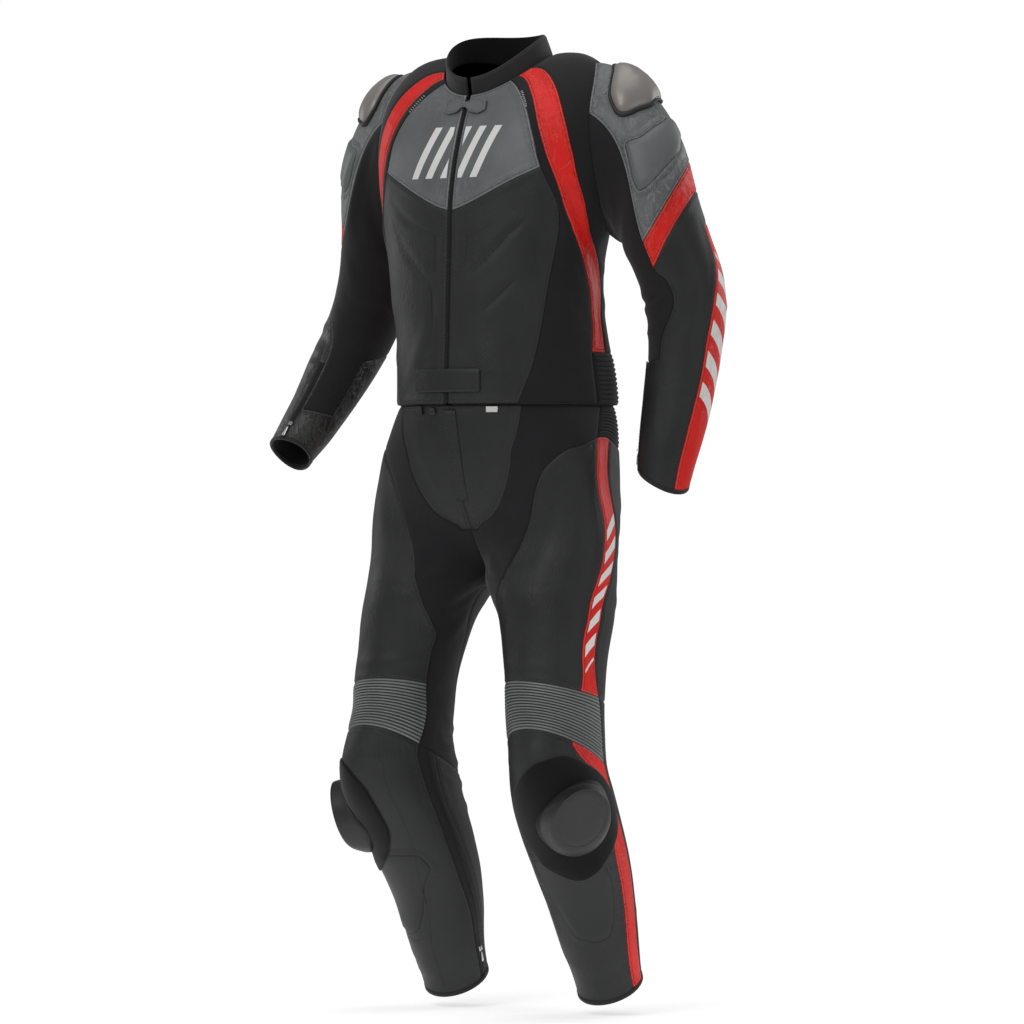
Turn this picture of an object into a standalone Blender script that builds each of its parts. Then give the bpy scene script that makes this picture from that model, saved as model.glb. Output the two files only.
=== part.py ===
"""Two-piece motorcycle race suit, in the form it has when worn, with no wearer.

Metres, +Z up.  The wearer faces -Y and the wearer's left side is +X.  The origin is the middle of
the collar's base, where the neck holds the suit.  Every sewn piece is a thin wall of its own, cut
from the grid of a body, a sleeve or a leg.  A grid's rows and columns follow the seams.
"""
import math

import bpy
import numpy as np

# Driving dimensions ---------------------------------------------------------------------------
LEATHER = 0.0020           # wall of a leather panel
STRETCH = 0.0016           # wall of a stretch panel
SEAM = 0.00016             # each piece stops this far from the middle of its seam
LIFT = 0.0004              # what lies on a panel starts this far off it
JACKET_RIBS, TROUSER_RIBS, KNEE_RIBS = 11, 10, 17     # accordion ribs, half as many per cell row
RIB = 0.0016               # how far an accordion rib stands out
PAD = 0.0035               # how far a padded field stands out
HEM_Z = -0.506             # jacket hem
ARMPIT_Z = -0.2555
CROTCH_Z = -0.7725
LEG_END_Z = -1.389
NECK_HALF, NECK_DEEP = 0.086, 0.084
NECK_MIDDLE_Z, NECK_RISE, NECK_SIDE = -0.0091, 0.0304, 0.0271
CHEST_CORNER = 0.020       # how far the padded chest stands out beside the stripes
TURN_GAIN = 0.02           # a cell is cut along its other diagonal where that folds it this much less
WELD = 0.02                # corners of a cut outline closer than this, in cells, are one
ZIP_HALF = 0.0075          # half width of the gap that the front zip fills
HIP_ROUND = 2.2            # exponent of the level sections, 2 is an ellipse


def table(header, *rows):
    """Named columns over the first one, which rises; each is a smooth curve read by read()."""
    columns = {name: np.array(values, float) for name, values in zip(header.split(), zip(*rows))}
    keys = columns[header.split()[0]]
    return {name: (keys, v, np.gradient(v, keys)) for name, v in columns.items()}


def read(curves, name, at):
    """The value of a table's column at a place along the first column, straight beyond its ends."""
    keys, values, slopes = curves[name]
    if at <= keys[0]:
        return values[0] + slopes[0] * (at - keys[0])
    if at >= keys[-1]:
        return values[-1] + slopes[-1] * (at - keys[-1])
    i = int(np.searchsorted(keys, at)) - 1
    step = keys[i + 1] - keys[i]
    f = (at - keys[i]) / step
    start = (1 + 2 * f) * (1 - f) ** 2 * values[i] + f * (1 - f) ** 2 * step * slopes[i]
    return start + f * f * (3 - 2 * f) * values[i + 1] - f * f * (1 - f) * step * slopes[i + 1]


# Level sections of the jacket's body: half width, and the depth (Y) of the widest point, of the
# front and of the back.
BODY = table(
    "z        half    side     front    back",
    (-0.5065, 0.1705, 0.0450, -0.1450, 0.1450),
    (-0.4550, 0.1690, 0.0380, -0.1445, 0.1340),
    (-0.4075, 0.1660, 0.0230, -0.1420, 0.1260),
    (-0.3528, 0.1670, -0.0020, -0.1405, 0.1250),
    (-0.2889, 0.1715, -0.0150, -0.1380, 0.1300),
    (-0.2555, 0.1770, -0.0150, -0.1365, 0.1350),
)
# Level sections of the trousers, both legs together, down to the crotch.
HIPS = table(
    "z        half    side     front    back",
    (-0.7725, 0.2080, -0.0300, -0.0700, 0.1150),
    (-0.7010, 0.2065, -0.0400, -0.0887, 0.1500),
    (-0.6356, 0.1967, -0.0340, -0.1074, 0.1600),
    (-0.5733, 0.1870, -0.0060, -0.1240, 0.1530),
    (-0.5400, 0.1780, 0.0180, -0.1310, 0.1460),
    (-0.5090, 0.1660, 0.0400, -0.1370, 0.1380),
)
# Level sections of a leg: middle, half width, half depth, and the turn outward in degrees.
LEG = table(
    "z        x       y        half    deep    turn",
    (-1.4050, 0.1416, 0.0960, 0.0505, 0.0520, 0),
    (-1.3808, 0.1416, 0.0850, 0.0515, 0.0530, 0),
    (-1.3397, 0.1420, 0.0660, 0.0565, 0.0585, 0),
    (-1.2637, 0.1394, 0.0411, 0.0655, 0.0700, 3),
    (-1.2105, 0.1397, 0.0160, 0.0720, 0.0800, 7),
    (-1.1603, 0.1420, -0.0120, 0.0755, 0.0890, 11),
    (-1.0918, 0.1460, -0.0480, 0.0740, 0.1000, 14),
    (-1.0462, 0.1450, -0.0600, 0.0695, 0.0980, 14),
    (-1.0021, 0.1420, -0.0600, 0.0695, 0.0890, 10),
    (-0.9702, 0.1385, -0.0570, 0.0715, 0.0830, 9),
    (-0.9307, 0.1369, -0.0545, 0.0730, 0.0840, 8),
    (-0.8637, 0.1301, -0.0420, 0.0800, 0.0870, 5),
    (-0.8181, 0.1240, -0.0315, 0.0875, 0.0940, 2),
    (-0.7900, 0.1135, -0.0260, 0.0950, 0.1000, 0),
    (-0.7725, 0.1040, -0.0220, 0.1040, 0.1040, 0),
)
# Level sections of the sleeves, the left one hanging, the right one with its forearm forward.
SLEEVE = {
    "left": table(
        "z        x       y        half    deep",
        (-0.6265, 0.2794, 0.0270, 0.0375, 0.0375),
        (-0.6052, 0.2805, 0.0300, 0.0410, 0.0410),
        (-0.5535, 0.2866, 0.0380, 0.0475, 0.0475),
        (-0.4957, 0.2918, 0.0480, 0.0515, 0.0520),
        (-0.4227, 0.2961, 0.0580, 0.0547, 0.0560),
        (-0.3513, 0.2950, 0.0600, 0.0610, 0.0620),
        (-0.3011, 0.2840, 0.0540, 0.0665, 0.0680),
        (-0.2555, 0.2670, 0.0450, 0.0700, 0.0720),
        (-0.2100, 0.2540, 0.0360, 0.0705, 0.0735),
        (-0.1300, 0.2350, 0.0250, 0.0710, 0.0760),
    ),
    "right": table(
        "z        x       y        half    deep",
        (-0.5950, 0.3220, -0.1120, 0.0360, 0.0420),
        (-0.5596, 0.3085, -0.0900, 0.0425, 0.0500),
        (-0.5277, 0.2985, -0.0700, 0.0460, 0.0540),
        (-0.4927, 0.2908, -0.0450, 0.0490, 0.0575),
        (-0.4349, 0.2851, -0.0010, 0.0545, 0.0640),
        (-0.3878, 0.2800, 0.0310, 0.0565, 0.0640),
        (-0.3269, 0.2690, 0.0540, 0.0608, 0.0640),
        (-0.2722, 0.2560, 0.0500, 0.0615, 0.0650),
        (-0.2100, 0.2420, 0.0380, 0.0640, 0.0700),
        (-0.1300, 0.2350, 0.0250, 0.0710, 0.0760),
    ),
}

# Seams ---------------------------------------------------------------------------------------
# Jacket body: columns of cells between the seams that run up it, and each seam's angle in degrees
# from the front (0) round the side (90) to the back (180), by height number: 0 hem, 1 armpit,
# 2 neck.  The flank is split by the armhole, whose half width is in degrees.
BODY_COLUMNS = (0, 4, 7, 8, 10, 13, 16)
BODY_SEAMS = table(
    "height front  stripe  flank  arm  back",
    (0.00, 37, 82, 93, 108, 134),
    (0.28, 47, 82, 93, 108, 134),
    (0.50, 53, 88, 99, 112, 136),
    (0.72, 58, 90, 106, 116, 138),
    (0.90, 61, 82, 97, 108, 137),
    (1.00, 61, 71, 86, 106, 137),
    (1.08, 58, 62, 77, 101, 136),
    (1.17, 51, 55, 67, 96, 134),
    (1.28, 45, 49, 61, 94, 134),
    (1.45, 42, 45, 57, 92, 134),
    (1.70, 42, 46, 58, 90, 134),
    (2.00, 44, 52, 66, 90, 132),
)
# Rows of cells between these heights: hem, lumbar top, armpit, chest seam, armhole top, neck.
BODY_ROWS = (0, 2, 6, 9, 14, 17)
LUMBAR_TOP = 0.31
ARMHOLE_TOP = 1.70
CHEST_SEAM = (1.17, 1.36)   # height of the chest seam at the zip and at the stripe
ARMHOLE_FRONT, ARMHOLE_BACK = 24, 36     # degrees from its middle to its edges

# Sleeve: columns from the stripe's front edge over the front and the inside, and the seams'
# angles from the outside (0) to the front (90), inside (180) and back (270), by height.
SLEEVE_COLUMNS = (0, 4, 8, 12, 14, 16)
SLEEVE_SEAMS = table(
    "z     stripe  front  inside  back  stripe_back",
    (-0.63, 32, 98, 180, 262, 322),
    (-0.54, 31, 98, 180, 258, 318),
    (-0.47, 25, 100, 178, 252, 312),
    (-0.40, 20, 96, 176, 246, 304),
    (-0.36, 12, 76, 174, 240, 300),
    (-0.31, -10, 78, 176, 232, 296),
    (-0.28, -14, 88, 178, 228, 298),
    (-0.20, -14, 88, 180, 228, 300),
)
# Rows of the sleeve: number of cells to each line, the line's height, and how much higher it is
# on the outside and on the front.
SLEEVE_LINES = {
    "left": (
        # cells  z      outside  front
        (6, -0.2177, 0.056, -0.051),     # band top
        (1, -0.2614, 0.061, -0.043),     # band bottom
        (3, -0.3450, 0.012, -0.006),     # elbow
        (2, -0.4400, 0.004, 0.000),      # end of the inner stretch
        (5, -0.6210, -0.020, -0.006),    # cuff
    ),
    "right": (
        (6, -0.2300, 0.062, -0.050),
        (1, -0.2820, 0.058, -0.043),
        (3, -0.3450, 0.012, -0.006),
        (2, -0.4300, 0.004, -0.010),
        (5, -0.5800, 0.005, 0.023),
    ),
}

# Trousers: columns from the middle of the front (the inseam below the crotch) round the outside to
# the middle of the back, and the seams as shares of that way.
LEG_COLUMNS = (0, 3, 6, 12, 13, 16, 19)
LEG_SEAMS = table(
    "z       inseam yoke   thigh  stripe outer  seat",
    (-1.405, -0.12, -0.055, 0.012, 0.467, 0.577, 0.77),
    (-1.350, -0.12, -0.050, 0.010, 0.467, 0.560, 0.77),
    (-1.300, -0.12, -0.045, 0.020, 0.472, 0.552, 0.77),
    (-1.240, -0.12, -0.032, 0.040, 0.470, 0.555, 0.77),
    (-1.180, -0.12, -0.026, 0.036, 0.460, 0.545, 0.77),
    (-1.120, -0.12, -0.024, 0.022, 0.476, 0.530, 0.77),
    (-1.060, -0.12, -0.025, 0.026, 0.454, 0.530, 0.77),
    (-1.025, -0.12, -0.022, 0.038, 0.395, 0.530, 0.77),
    (-0.995, -0.12, -0.020, 0.034, 0.372, 0.528, 0.77),
    (-0.955, -0.11, -0.020, 0.045, 0.398, 0.510, 0.77),
    (-0.930, -0.10, -0.018, 0.052, 0.418, 0.488, 0.77),
    (-0.880, -0.07, 0.000, 0.066, 0.416, 0.468, 0.77),
    (-0.850, -0.05, 0.015, 0.074, 0.420, 0.472, 0.76),
    (-0.830, -0.03, 0.030, 0.108, 0.430, 0.480, 0.76),
    (-0.806, -0.01, 0.045, 0.150, 0.441, 0.490, 0.75),
    (-0.7725, 0.00, 0.055, 0.186, 0.464, 0.522, 0.74),
    (-0.714, 0.00, 0.040, 0.181, 0.511, 0.577, 0.72),
    (-0.696, 0.00, 0.040, 0.183, 0.518, 0.582, 0.72),
    (-0.674, 0.00, 0.078, 0.190, 0.519, 0.580, 0.72),
    (-0.636, 0.00, 0.118, 0.212, 0.508, 0.563, 0.72),
    (-0.602, 0.00, 0.145, 0.258, 0.494, 0.546, 0.72),
    (-0.577, 0.00, 0.158, 0.335, 0.482, 0.542, 0.72),
    (-0.556, 0.00, 0.178, 0.440, 0.474, 0.542, 0.72),
    (-0.509, 0.00, 0.215, 0.450, 0.480, 0.550, 0.72),
)
LEG_LINES = (
    # cells  z      back     outside  arch
    (2, -0.5740, 0.000, 0.000, 0.018),       # lumbar bottom and top of the thigh
    (3, -0.6960, 0.000, 0.000, 0.000),       # point of the front yoke
    (3, CROTCH_Z, 0.000, 0.000, 0.000),      # crotch
    (4, -0.9400, -0.019, -0.006, 0.000),     # top of the knee accordion
    (2, -1.0345, -0.0425, -0.0035, 0.000),   # its bottom
    (4, -1.2100, 0.010, 0.000, 0.000),       # below the knee
    (4, LEG_END_Z, 0.026, 0.000, 0.000),     # leg end
)
ARCH_SHARE, ARCH_WIDTH = 0.50, 0.09     # where the rows arch upward at the side of the hips
WAIST_Z = -0.509
LEG_ROWS = tuple(int(n) for n in np.cumsum([0] + [line[0] for line in LEG_LINES]))


def round_power(value, power):
    return math.copysign(abs(value) ** power, value)


def level_section(curves, z, turn):
    """A point of a level body section; turn is 0 at the front, pi at the back, through +X."""
    power = 2 / HIP_ROUND
    side = read(curves, "side", z)
    ahead = round_power(math.cos(turn), power)
    end = read(curves, "front" if ahead > 0 else "back", z)
    return np.array((read(curves, "half", z) * round_power(math.sin(turn), power),
                     side + (end - side) * abs(ahead), z))


def neck_point(turn, spread=1.0):
    """A point of the collar's base."""
    return np.array((spread * NECK_HALF * math.sin(turn), -spread * NECK_DEEP * math.cos(turn),
                     NECK_MIDDLE_Z - NECK_RISE * math.cos(turn) + NECK_SIDE * math.sin(turn) ** 2))


# How the shoulder leaves the armpit level and reaches the neck, at the front, side and back.
SHOULDER_LEAVE = ((0, -0.003, 0.075), (0.060, 0.025, 0.190), (0, 0.015, 0.110))
SHOULDER_REACH = ((0, -0.027, -0.054), (0.112, 0.022, 0.030), (0, 0.045, -0.024))


def body_surface(height, turn):
    """The jacket's body: height 0 at the hem, 1 at the armpits, 2 at the neck."""
    if height <= 1:
        return level_section(BODY, HEM_Z + height * (ARMPIT_Z - HEM_Z), turn)
    ahead, aside = math.cos(turn), math.sin(turn)
    share = np.array((max(ahead, 0) ** 2, aside ** 2, max(-ahead, 0) ** 2))
    scale = np.array((aside, 1, 1))
    start, end = level_section(BODY, ARMPIT_Z, turn), neck_point(turn)
    leave = start + share @ np.array(SHOULDER_LEAVE) * scale
    reach = end + share @ np.array(SHOULDER_REACH) * scale
    f = height - 1
    point = ((1 - f) ** 3 * start + 3 * f * (1 - f) ** 2 * leave
             + 3 * f * f * (1 - f) * reach + f ** 3 * end)
    corner = CHEST_CORNER * max(math.sin(2 * turn), 0) ** 1.5 * math.sin(math.pi * f) ** 2
    return point + corner * np.array((0.7, -0.7, 0.1))


def tube_section(curves, z, turn, twist=0.0):
    """A point of a level sleeve or leg section; turn is 0 outside, pi/2 at the front."""
    x, y = read(curves, "half", z) * math.cos(turn), -read(curves, "deep", z) * math.sin(turn)
    c, s = math.cos(twist), math.sin(twist)
    return np.array((read(curves, "x", z) + c * x - s * y, read(curves, "y", z) + s * x + c * y, z))


def between(knots, values, at):
    return float(np.interp(at, knots, values))


def body_height(row, column):
    """Height number of a row of the jacket's body, which dips and rises along the chest seam."""
    chest = between((0, BODY_COLUMNS[2]), CHEST_SEAM, column)
    return between(BODY_ROWS, (0, LUMBAR_TOP, 1, chest, ARMHOLE_TOP, 2), row)


def zip_edge(height):
    """Degrees at which the body is half the zip's gap from the middle."""
    turn = ZIP_HALF / NECK_HALF
    for _ in range(8):
        turn *= ZIP_HALF / body_surface(height, turn)[0]
    return math.degrees(turn)


def armhole_edge(height, behind):
    """Degrees from the armhole's middle to an edge: a lens between the armpit and the shoulder."""
    f = min(max((height - 1) / (ARMHOLE_TOP - 1), 0), 1)
    return (ARMHOLE_BACK if behind else -ARMHOLE_FRONT) * max(math.sin(math.pi * f), 0) ** 0.75


def body_point(row, column, behind=False):
    """A grid point of the jacket's left half; behind picks the armhole's back edge."""
    height = body_height(row, column)
    seams = [read(BODY_SEAMS, name, height) for name in ("front", "stripe", "flank", "arm", "back")]
    first = zip_edge(height)
    arm = seams[3] + armhole_edge(height, behind)
    degrees = between(BODY_COLUMNS, (first, *seams[:3], arm, seams[4], 180), column)
    return body_surface(height, math.radians(degrees))


class Grid:
    """Points and outward directions of a body, sleeve or leg; a piece is a set of its cells."""

    def __init__(self, points, side, outward=1, closed=False):
        self.closed = closed
        self.points = np.array(points, float)
        self.points[..., 0] *= side
        self.flip = side * outward
        self.normals = self.vertex_normals()
        self.turned = self.turned_cells()

    def vertex_normals(self):
        p = self.points
        a, b, c, d = p[:-1, :-1], p[:-1, 1:], p[1:, 1:], p[1:, :-1]
        face = np.cross(c - a, d - b) * self.flip
        total = np.zeros_like(p)
        total[:-1, :-1] += face
        total[:-1, 1:] += face
        total[1:, 1:] += face
        total[1:, :-1] += face
        return total / np.maximum(np.linalg.norm(total, axis=2, keepdims=True), 1e-12)

    def turned_cells(self):
        """Whether each cell folds less along its other diagonal than along its own."""
        p = self.points
        a, b, c, d = p[:-1, :-1], p[:-1, 1:], p[1:, 1:], p[1:, :-1]

        def agreement(one, two):
            size = np.linalg.norm(one, axis=2) * np.linalg.norm(two, axis=2)
            return (one * two).sum(axis=2) / np.maximum(size, 1e-15)

        own = agreement(np.cross(b - a, c - a), np.cross(c - a, d - a))
        other = agreement(np.cross(b - a, d - a), np.cross(c - b, d - b))
        return other > own + TURN_GAIN

    def cell(self, row, column):
        """Row and column of a cell's first corner, round the grid if it is closed."""
        r, c = min(int(row), self.points.shape[0] - 2), math.floor(column)
        last = self.points.shape[1] - 1
        return r, c % last if self.closed else min(c, last - 1)

    def at(self, row, column):
        """Point and direction between the grid's own points, on the triangles of its cells."""
        r, c = self.cell(row, column)
        f, g = row - r, column - math.floor(column) if self.closed else column - c
        if not self.turned[r, c]:
            mix = {(r, c): 1 - max(f, g), (r + 1, c + 1): min(f, g)}
            mix[(r, c + 1) if g > f else (r + 1, c)] = abs(g - f)
        elif f + g <= 1:
            mix = {(r, c): 1 - f - g, (r, c + 1): g, (r + 1, c): f}
        else:
            mix = {(r + 1, c + 1): f + g - 1, (r, c + 1): 1 - f, (r + 1, c): 1 - g}
        point = sum(m * self.points[spot] for spot, m in mix.items())
        normal = sum(m * self.normals[spot] for spot, m in mix.items())
        return point, normal / np.linalg.norm(normal)


def join_normals(*places):
    """Give grid points that lie at one seam point one common direction."""
    total = sum(grid.normals[spot] for grid, spot in places)
    total = total / np.linalg.norm(total)
    for grid, spot in places:
        grid.normals[spot] = total


# Grids ---------------------------------------------------------------------------------------
def body_grid(side):
    """Half of the jacket's body.  One column is there twice, as the armhole's two edges."""
    arm, last = BODY_COLUMNS[4], BODY_COLUMNS[-1]
    spots = [(c, False) for c in range(arm + 1)] + [(c, True) for c in range(arm, last + 1)]
    points = [[body_point(r, c, behind) for c, behind in spots] for r in range(BODY_ROWS[-1] + 1)]
    grid = Grid(points, side)
    grid.normals[:, -1, 0] = 0
    for r in range(BODY_ROWS[-1] + 1):
        if not BODY_ROWS[2] < r < BODY_ROWS[4]:
            join_normals((grid, (r, arm)), (grid, (r, arm + 1)))
    return grid


def armhole_spots():
    """The body grid's points round the armhole: top, front edge down, armpit, back edge up."""
    arm, low, top = BODY_COLUMNS[4], BODY_ROWS[2], BODY_ROWS[4]
    down = [(r, arm) for r in range(top, low - 1, -1)]
    return down + [(r, arm + 1) for r in range(low + 1, top + 1)]


def sleeve_angle(curves_z, column):
    """Angle round the sleeve of a column's seam or of a place between seams."""
    seams = [read(SLEEVE_SEAMS, name, curves_z)
             for name in ("stripe", "front", "inside", "back", "stripe_back")]
    return math.radians(between(SLEEVE_COLUMNS, (*seams, seams[0] + 360), column))


def sleeve_line(which, row):
    """Height, rise outside and rise in front of a row below the band's top."""
    lines = SLEEVE_LINES[which]
    knots = np.cumsum([line[0] for line in lines])
    return [between(knots, [line[k] for line in lines], row) for k in (1, 2, 3)]


def sleeve_point(which, row, column):
    z, outside, front = sleeve_line(which, row)
    turn = sleeve_angle(z, column)
    return tube_section(SLEEVE[which], z + outside * math.cos(turn) + front * math.sin(turn), turn)


SLEEVE_TOP_OUT, SLEEVE_PIT_OUT = np.array((1.0, 0.10, -0.12)), np.array((0.50, 0.25, -0.75))


def sleeve_grid(which, side, body):
    """A sleeve from the armhole to the cuff; its first rows blend from the body into the arm."""
    lines = SLEEVE_LINES[which]
    blend, rows = lines[0][0], sum(line[0] for line in lines)
    columns = SLEEVE_COLUMNS[-1]
    ring = [body.points[spot] * (side, 1, 1) for spot in armhole_spots()]
    points = np.zeros((rows + 1, columns + 1, 3))
    for c in range(columns + 1):
        below = sleeve_point(which, blend, c)
        end_way = sleeve_point(which, blend + 0.5, c) - below
        high = 0.5 + 0.5 * math.cos(2 * math.pi * c / columns)
        start_way = high * SLEEVE_TOP_OUT + (1 - high) * SLEEVE_PIT_OUT
        reach = np.linalg.norm(below - ring[c])
        start_way *= 1.1 * reach / np.linalg.norm(start_way)
        end_way *= 0.9 * reach / np.linalg.norm(end_way)
        for r in range(rows + 1):
            if r >= blend:
                points[r, c] = sleeve_point(which, r, c)
                continue
            f = r / blend
            points[r, c] = ((1 + 2 * f) * (1 - f) ** 2 * ring[c] + f * (1 - f) ** 2 * start_way
                            + f * f * (3 - 2 * f) * below - f * f * (1 - f) * end_way)
    grid = Grid(points, side, closed=True)
    for r in range(rows + 1):
        join_normals((grid, (r, 0)), (grid, (r, columns)))
    for c, spot in enumerate(armhole_spots()):
        join_normals((grid, (0, c)), (body, spot))
    grid.normals[0, columns] = grid.normals[0, 0] = body.normals[armhole_spots()[0]]
    return grid


HIP_END = -0.60            # below this height the hips turn into two legs


def leg_share(z, column):
    """Share of the way round a leg of a grid column at a height."""
    seams = [read(LEG_SEAMS, name, z)
             for name in ("inseam", "yoke", "thigh", "stripe", "outer", "seat")]
    seams[0] = min(seams[0], 0.0) if z < CROTCH_Z else 0.0
    return between(LEG_COLUMNS, (*seams, seams[0] + 1), column)


def leg_surface(z, share):
    """The trousers' left half: an arc from front to back above the crotch, a loop below it."""
    turn = math.pi * (1 - 2 * share)
    twist = math.radians(read(LEG, "turn", min(z, CROTCH_Z)))
    tube = tube_section(LEG, min(z, CROTCH_Z), turn, twist)
    tube[2] = z
    if z <= CROTCH_Z:
        return tube
    f = min(max((z - HIP_END) / (CROTCH_Z - HIP_END), 0), 1) ** 3
    point = level_section(HIPS, z, math.pi * share) * (1 - f) + tube * f
    if share in (0, 1):
        point[0] = 0
    return point


def leg_point(row, column):
    """A grid point of the trousers' left half, on its row's slanted line."""
    middle, back, outside, arch = [between(LEG_ROWS, (start, *(line[k] for line in LEG_LINES)), row)
                                   for k, start in ((1, WAIST_Z), (2, 0), (3, 0), (4, 0))]
    z = middle
    for _ in range(3):
        share = leg_share(z, column)
        turn = math.pi * (1 - 2 * share)
        z = middle + outside * math.cos(turn) - back * math.sin(turn)
        z += arch * math.exp(-((share - ARCH_SHARE) / ARCH_WIDTH) ** 2)
    return leg_surface(z, leg_share(z, column))


def leg_grid(side):
    rows, columns = sum(line[0] for line in LEG_LINES), LEG_COLUMNS[-1]
    points = [[leg_point(r, c) for c in range(columns + 1)] for r in range(rows + 1)]
    grid = Grid(points, side, -1)
    crotch = sum(line[0] for line in LEG_LINES[:3])
    grid.normals[:crotch + 1, (0, -1), 0] = 0
    for r in range(crotch, rows + 1):
        join_normals((grid, (r, 0)), (grid, (r, columns)))
    return grid


# Solids --------------------------------------------------------------------------------------
FINISHES = {
    # name: colour, roughness, metallic
    "black_leather": ((0.031, 0.032, 0.034), 0.50, 0.0),
    "black_stretch": ((0.014, 0.013, 0.015), 0.85, 0.0),
    "grey_leather": ((0.120, 0.128, 0.130), 0.45, 0.0),
    "red_leather": ((0.560, 0.012, 0.008), 0.42, 0.0),
    "ribbed_grey": ((0.075, 0.080, 0.080), 0.60, 0.0),
    "shell": ((0.170, 0.160, 0.148), 0.30, 0.6),
    "slider_plastic": ((0.022, 0.022, 0.023), 0.45, 0.0),
    "hook_pad": ((0.008, 0.008, 0.009), 0.95, 0.0),
    "zip_tape": ((0.012, 0.012, 0.013), 0.70, 0.0),
    "zip_metal": ((0.550, 0.550, 0.560), 0.35, 1.0),
}


def material(name):
    """The finish of that name, made the first time that it is asked for."""
    made = bpy.data.materials.get(name)
    if made:
        return made
    colour, roughness, metallic = FINISHES[name]
    made = bpy.data.materials.new(name)
    made.use_nodes = True
    shader = made.node_tree.nodes["Principled BSDF"]
    shader.inputs["Base Color"].default_value = (*colour, 1)
    shader.inputs["Roughness"].default_value = roughness
    shader.inputs["Metallic"].default_value = metallic
    return made


def add_object(name, points, faces, finish):
    mesh = bpy.data.meshes.new(name)
    mesh.from_pydata([tuple(map(float, p)) for p in points], [], faces)
    mesh.materials.append(material(finish))
    mesh.shade_smooth()
    mesh.set_sharp_from_angle(angle=math.radians(35))
    made = bpy.data.objects.new(name, mesh)
    bpy.context.scene.collection.objects.link(made)
    return made


def flat(row, column):
    return 0.0


def patch(grid, rows, columns, lift=flat, fine=1):
    """Cells of a grid between two rows and two columns; fine cuts each row of cells finer.
    A cell is four corners, each a point, a direction and a lift along it."""
    cells = []
    for r in range(rows[0] * fine, rows[1] * fine):
        for c in range(*columns):
            corners = [(r, c), (r, c + 1), (r + 1, c + 1), (r + 1, c)]
            if grid.turned[grid.cell(r // fine, c)]:
                corners = corners[1:] + corners[:1]
            cell = [(*grid.at(i / fine, j), lift(i / fine, j)) for i, j in corners]
            cells.append(cell if grid.flip > 0 else [cell[0], *cell[:0:-1]])
    return cells


def ribs(first, each):
    """Lift of an accordion: every other fine row stands out."""
    return lambda row, column: RIB if round((row - first) * each) % 2 else 0.0


class Skin:
    """Welded cells of a piece, with the small step back from its seams."""

    def __init__(self, cells):
        self.index, self.points, self.normals, self.lifts, self.faces = {}, [], [], [], []
        for cell in cells:
            self.faces.append([self.vertex(*corner) for corner in cell])
        self.count_edges()

    def vertex(self, point, normal, lift):
        key = tuple(np.round(np.asarray(point) * 2e4).astype(int))
        for near in (key, *self.neighbours(key)):
            if near in self.index:
                return self.index[near]
        self.index[key] = len(self.points)
        self.points.append(np.array(point))
        self.normals.append(np.array(normal))
        self.lifts.append(lift)
        return self.index[key]

    @staticmethod
    def neighbours(key):
        x, y, z = key
        return ((x + 1, y, z), (x - 1, y, z), (x, y + 1, z), (x, y - 1, z), (x, y, z + 1), (x, y, z - 1))

    def count_edges(self):
        edges = {}
        for face in self.faces:
            for a, b in zip(face, face[1:] + face[:1]):
                edges[(a, b)] = face
        self.border = {a: b for (a, b) in edges if (b, a) not in edges}
        self.shift = [np.zeros(3) for _ in self.points]
        inward = {}
        for a, b in self.border.items():
            face = edges[(a, b)]
            way = self.points[b] - self.points[a]
            way /= np.linalg.norm(way)
            to = np.mean([self.points[i] for i in face], axis=0) - self.points[a]
            to -= way * (to @ way)
            to /= np.linalg.norm(to)
            inward.setdefault(a, []).append(to)
            inward.setdefault(b, []).append(to)
        for i, ways in inward.items():
            total = sum(ways[:2])
            self.shift[i] = SEAM * total / max(0.35, 1 + ways[0] @ ways[-1])


def fan(face):
    """Triangles of a face, from its first corner."""
    return [[face[0], face[k], face[k + 1]] for k in range(1, len(face) - 1)]


def wall(name, cells, thick, finish, inside=None, base=0.0):
    """A closed wall: the cells moved out by their lifts, and a plain inside a thickness below.
    Walls that meet at a seam cut its sides along the same diagonals."""
    outer = Skin(cells)
    inner = Skin(inside) if inside else outer
    points = [p + s + n * (base + h) for p, s, n, h in
              zip(outer.points, outer.shift, outer.normals, outer.lifts)]
    offset = len(points)
    to_outer = {}
    for i, p in enumerate(inner.points):
        j = outer.vertex(p, inner.normals[i], 0) if inside else i
        to_outer[i] = j
        shift = outer.shift[j] if j < len(outer.shift) else 0
        points.append(p + shift + inner.normals[i] * (base - thick))
    before = {b: a for a, b in outer.border.items()}
    faces = [face for cell in outer.faces for face in fan(cell)]
    faces += [[offset + i for i in reversed(face)] for cell in inner.faces for face in fan(cell)]
    for a, b in inner.border.items():
        way = [to_outer[b]]
        while way[-1] != to_outer[a]:
            way.append(before[way[-1]])
        if len(way) > 2:
            faces.append([offset + a, offset + b, *way])
            continue
        first = min((a, b), key=lambda k: tuple(np.round(np.abs(inner.points[k]), 5)))
        side = [offset + a, offset + b, *way]
        faces += fan(side if first == a else side[1:] + side[:1])
    return add_object(name, points, faces, finish)


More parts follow.
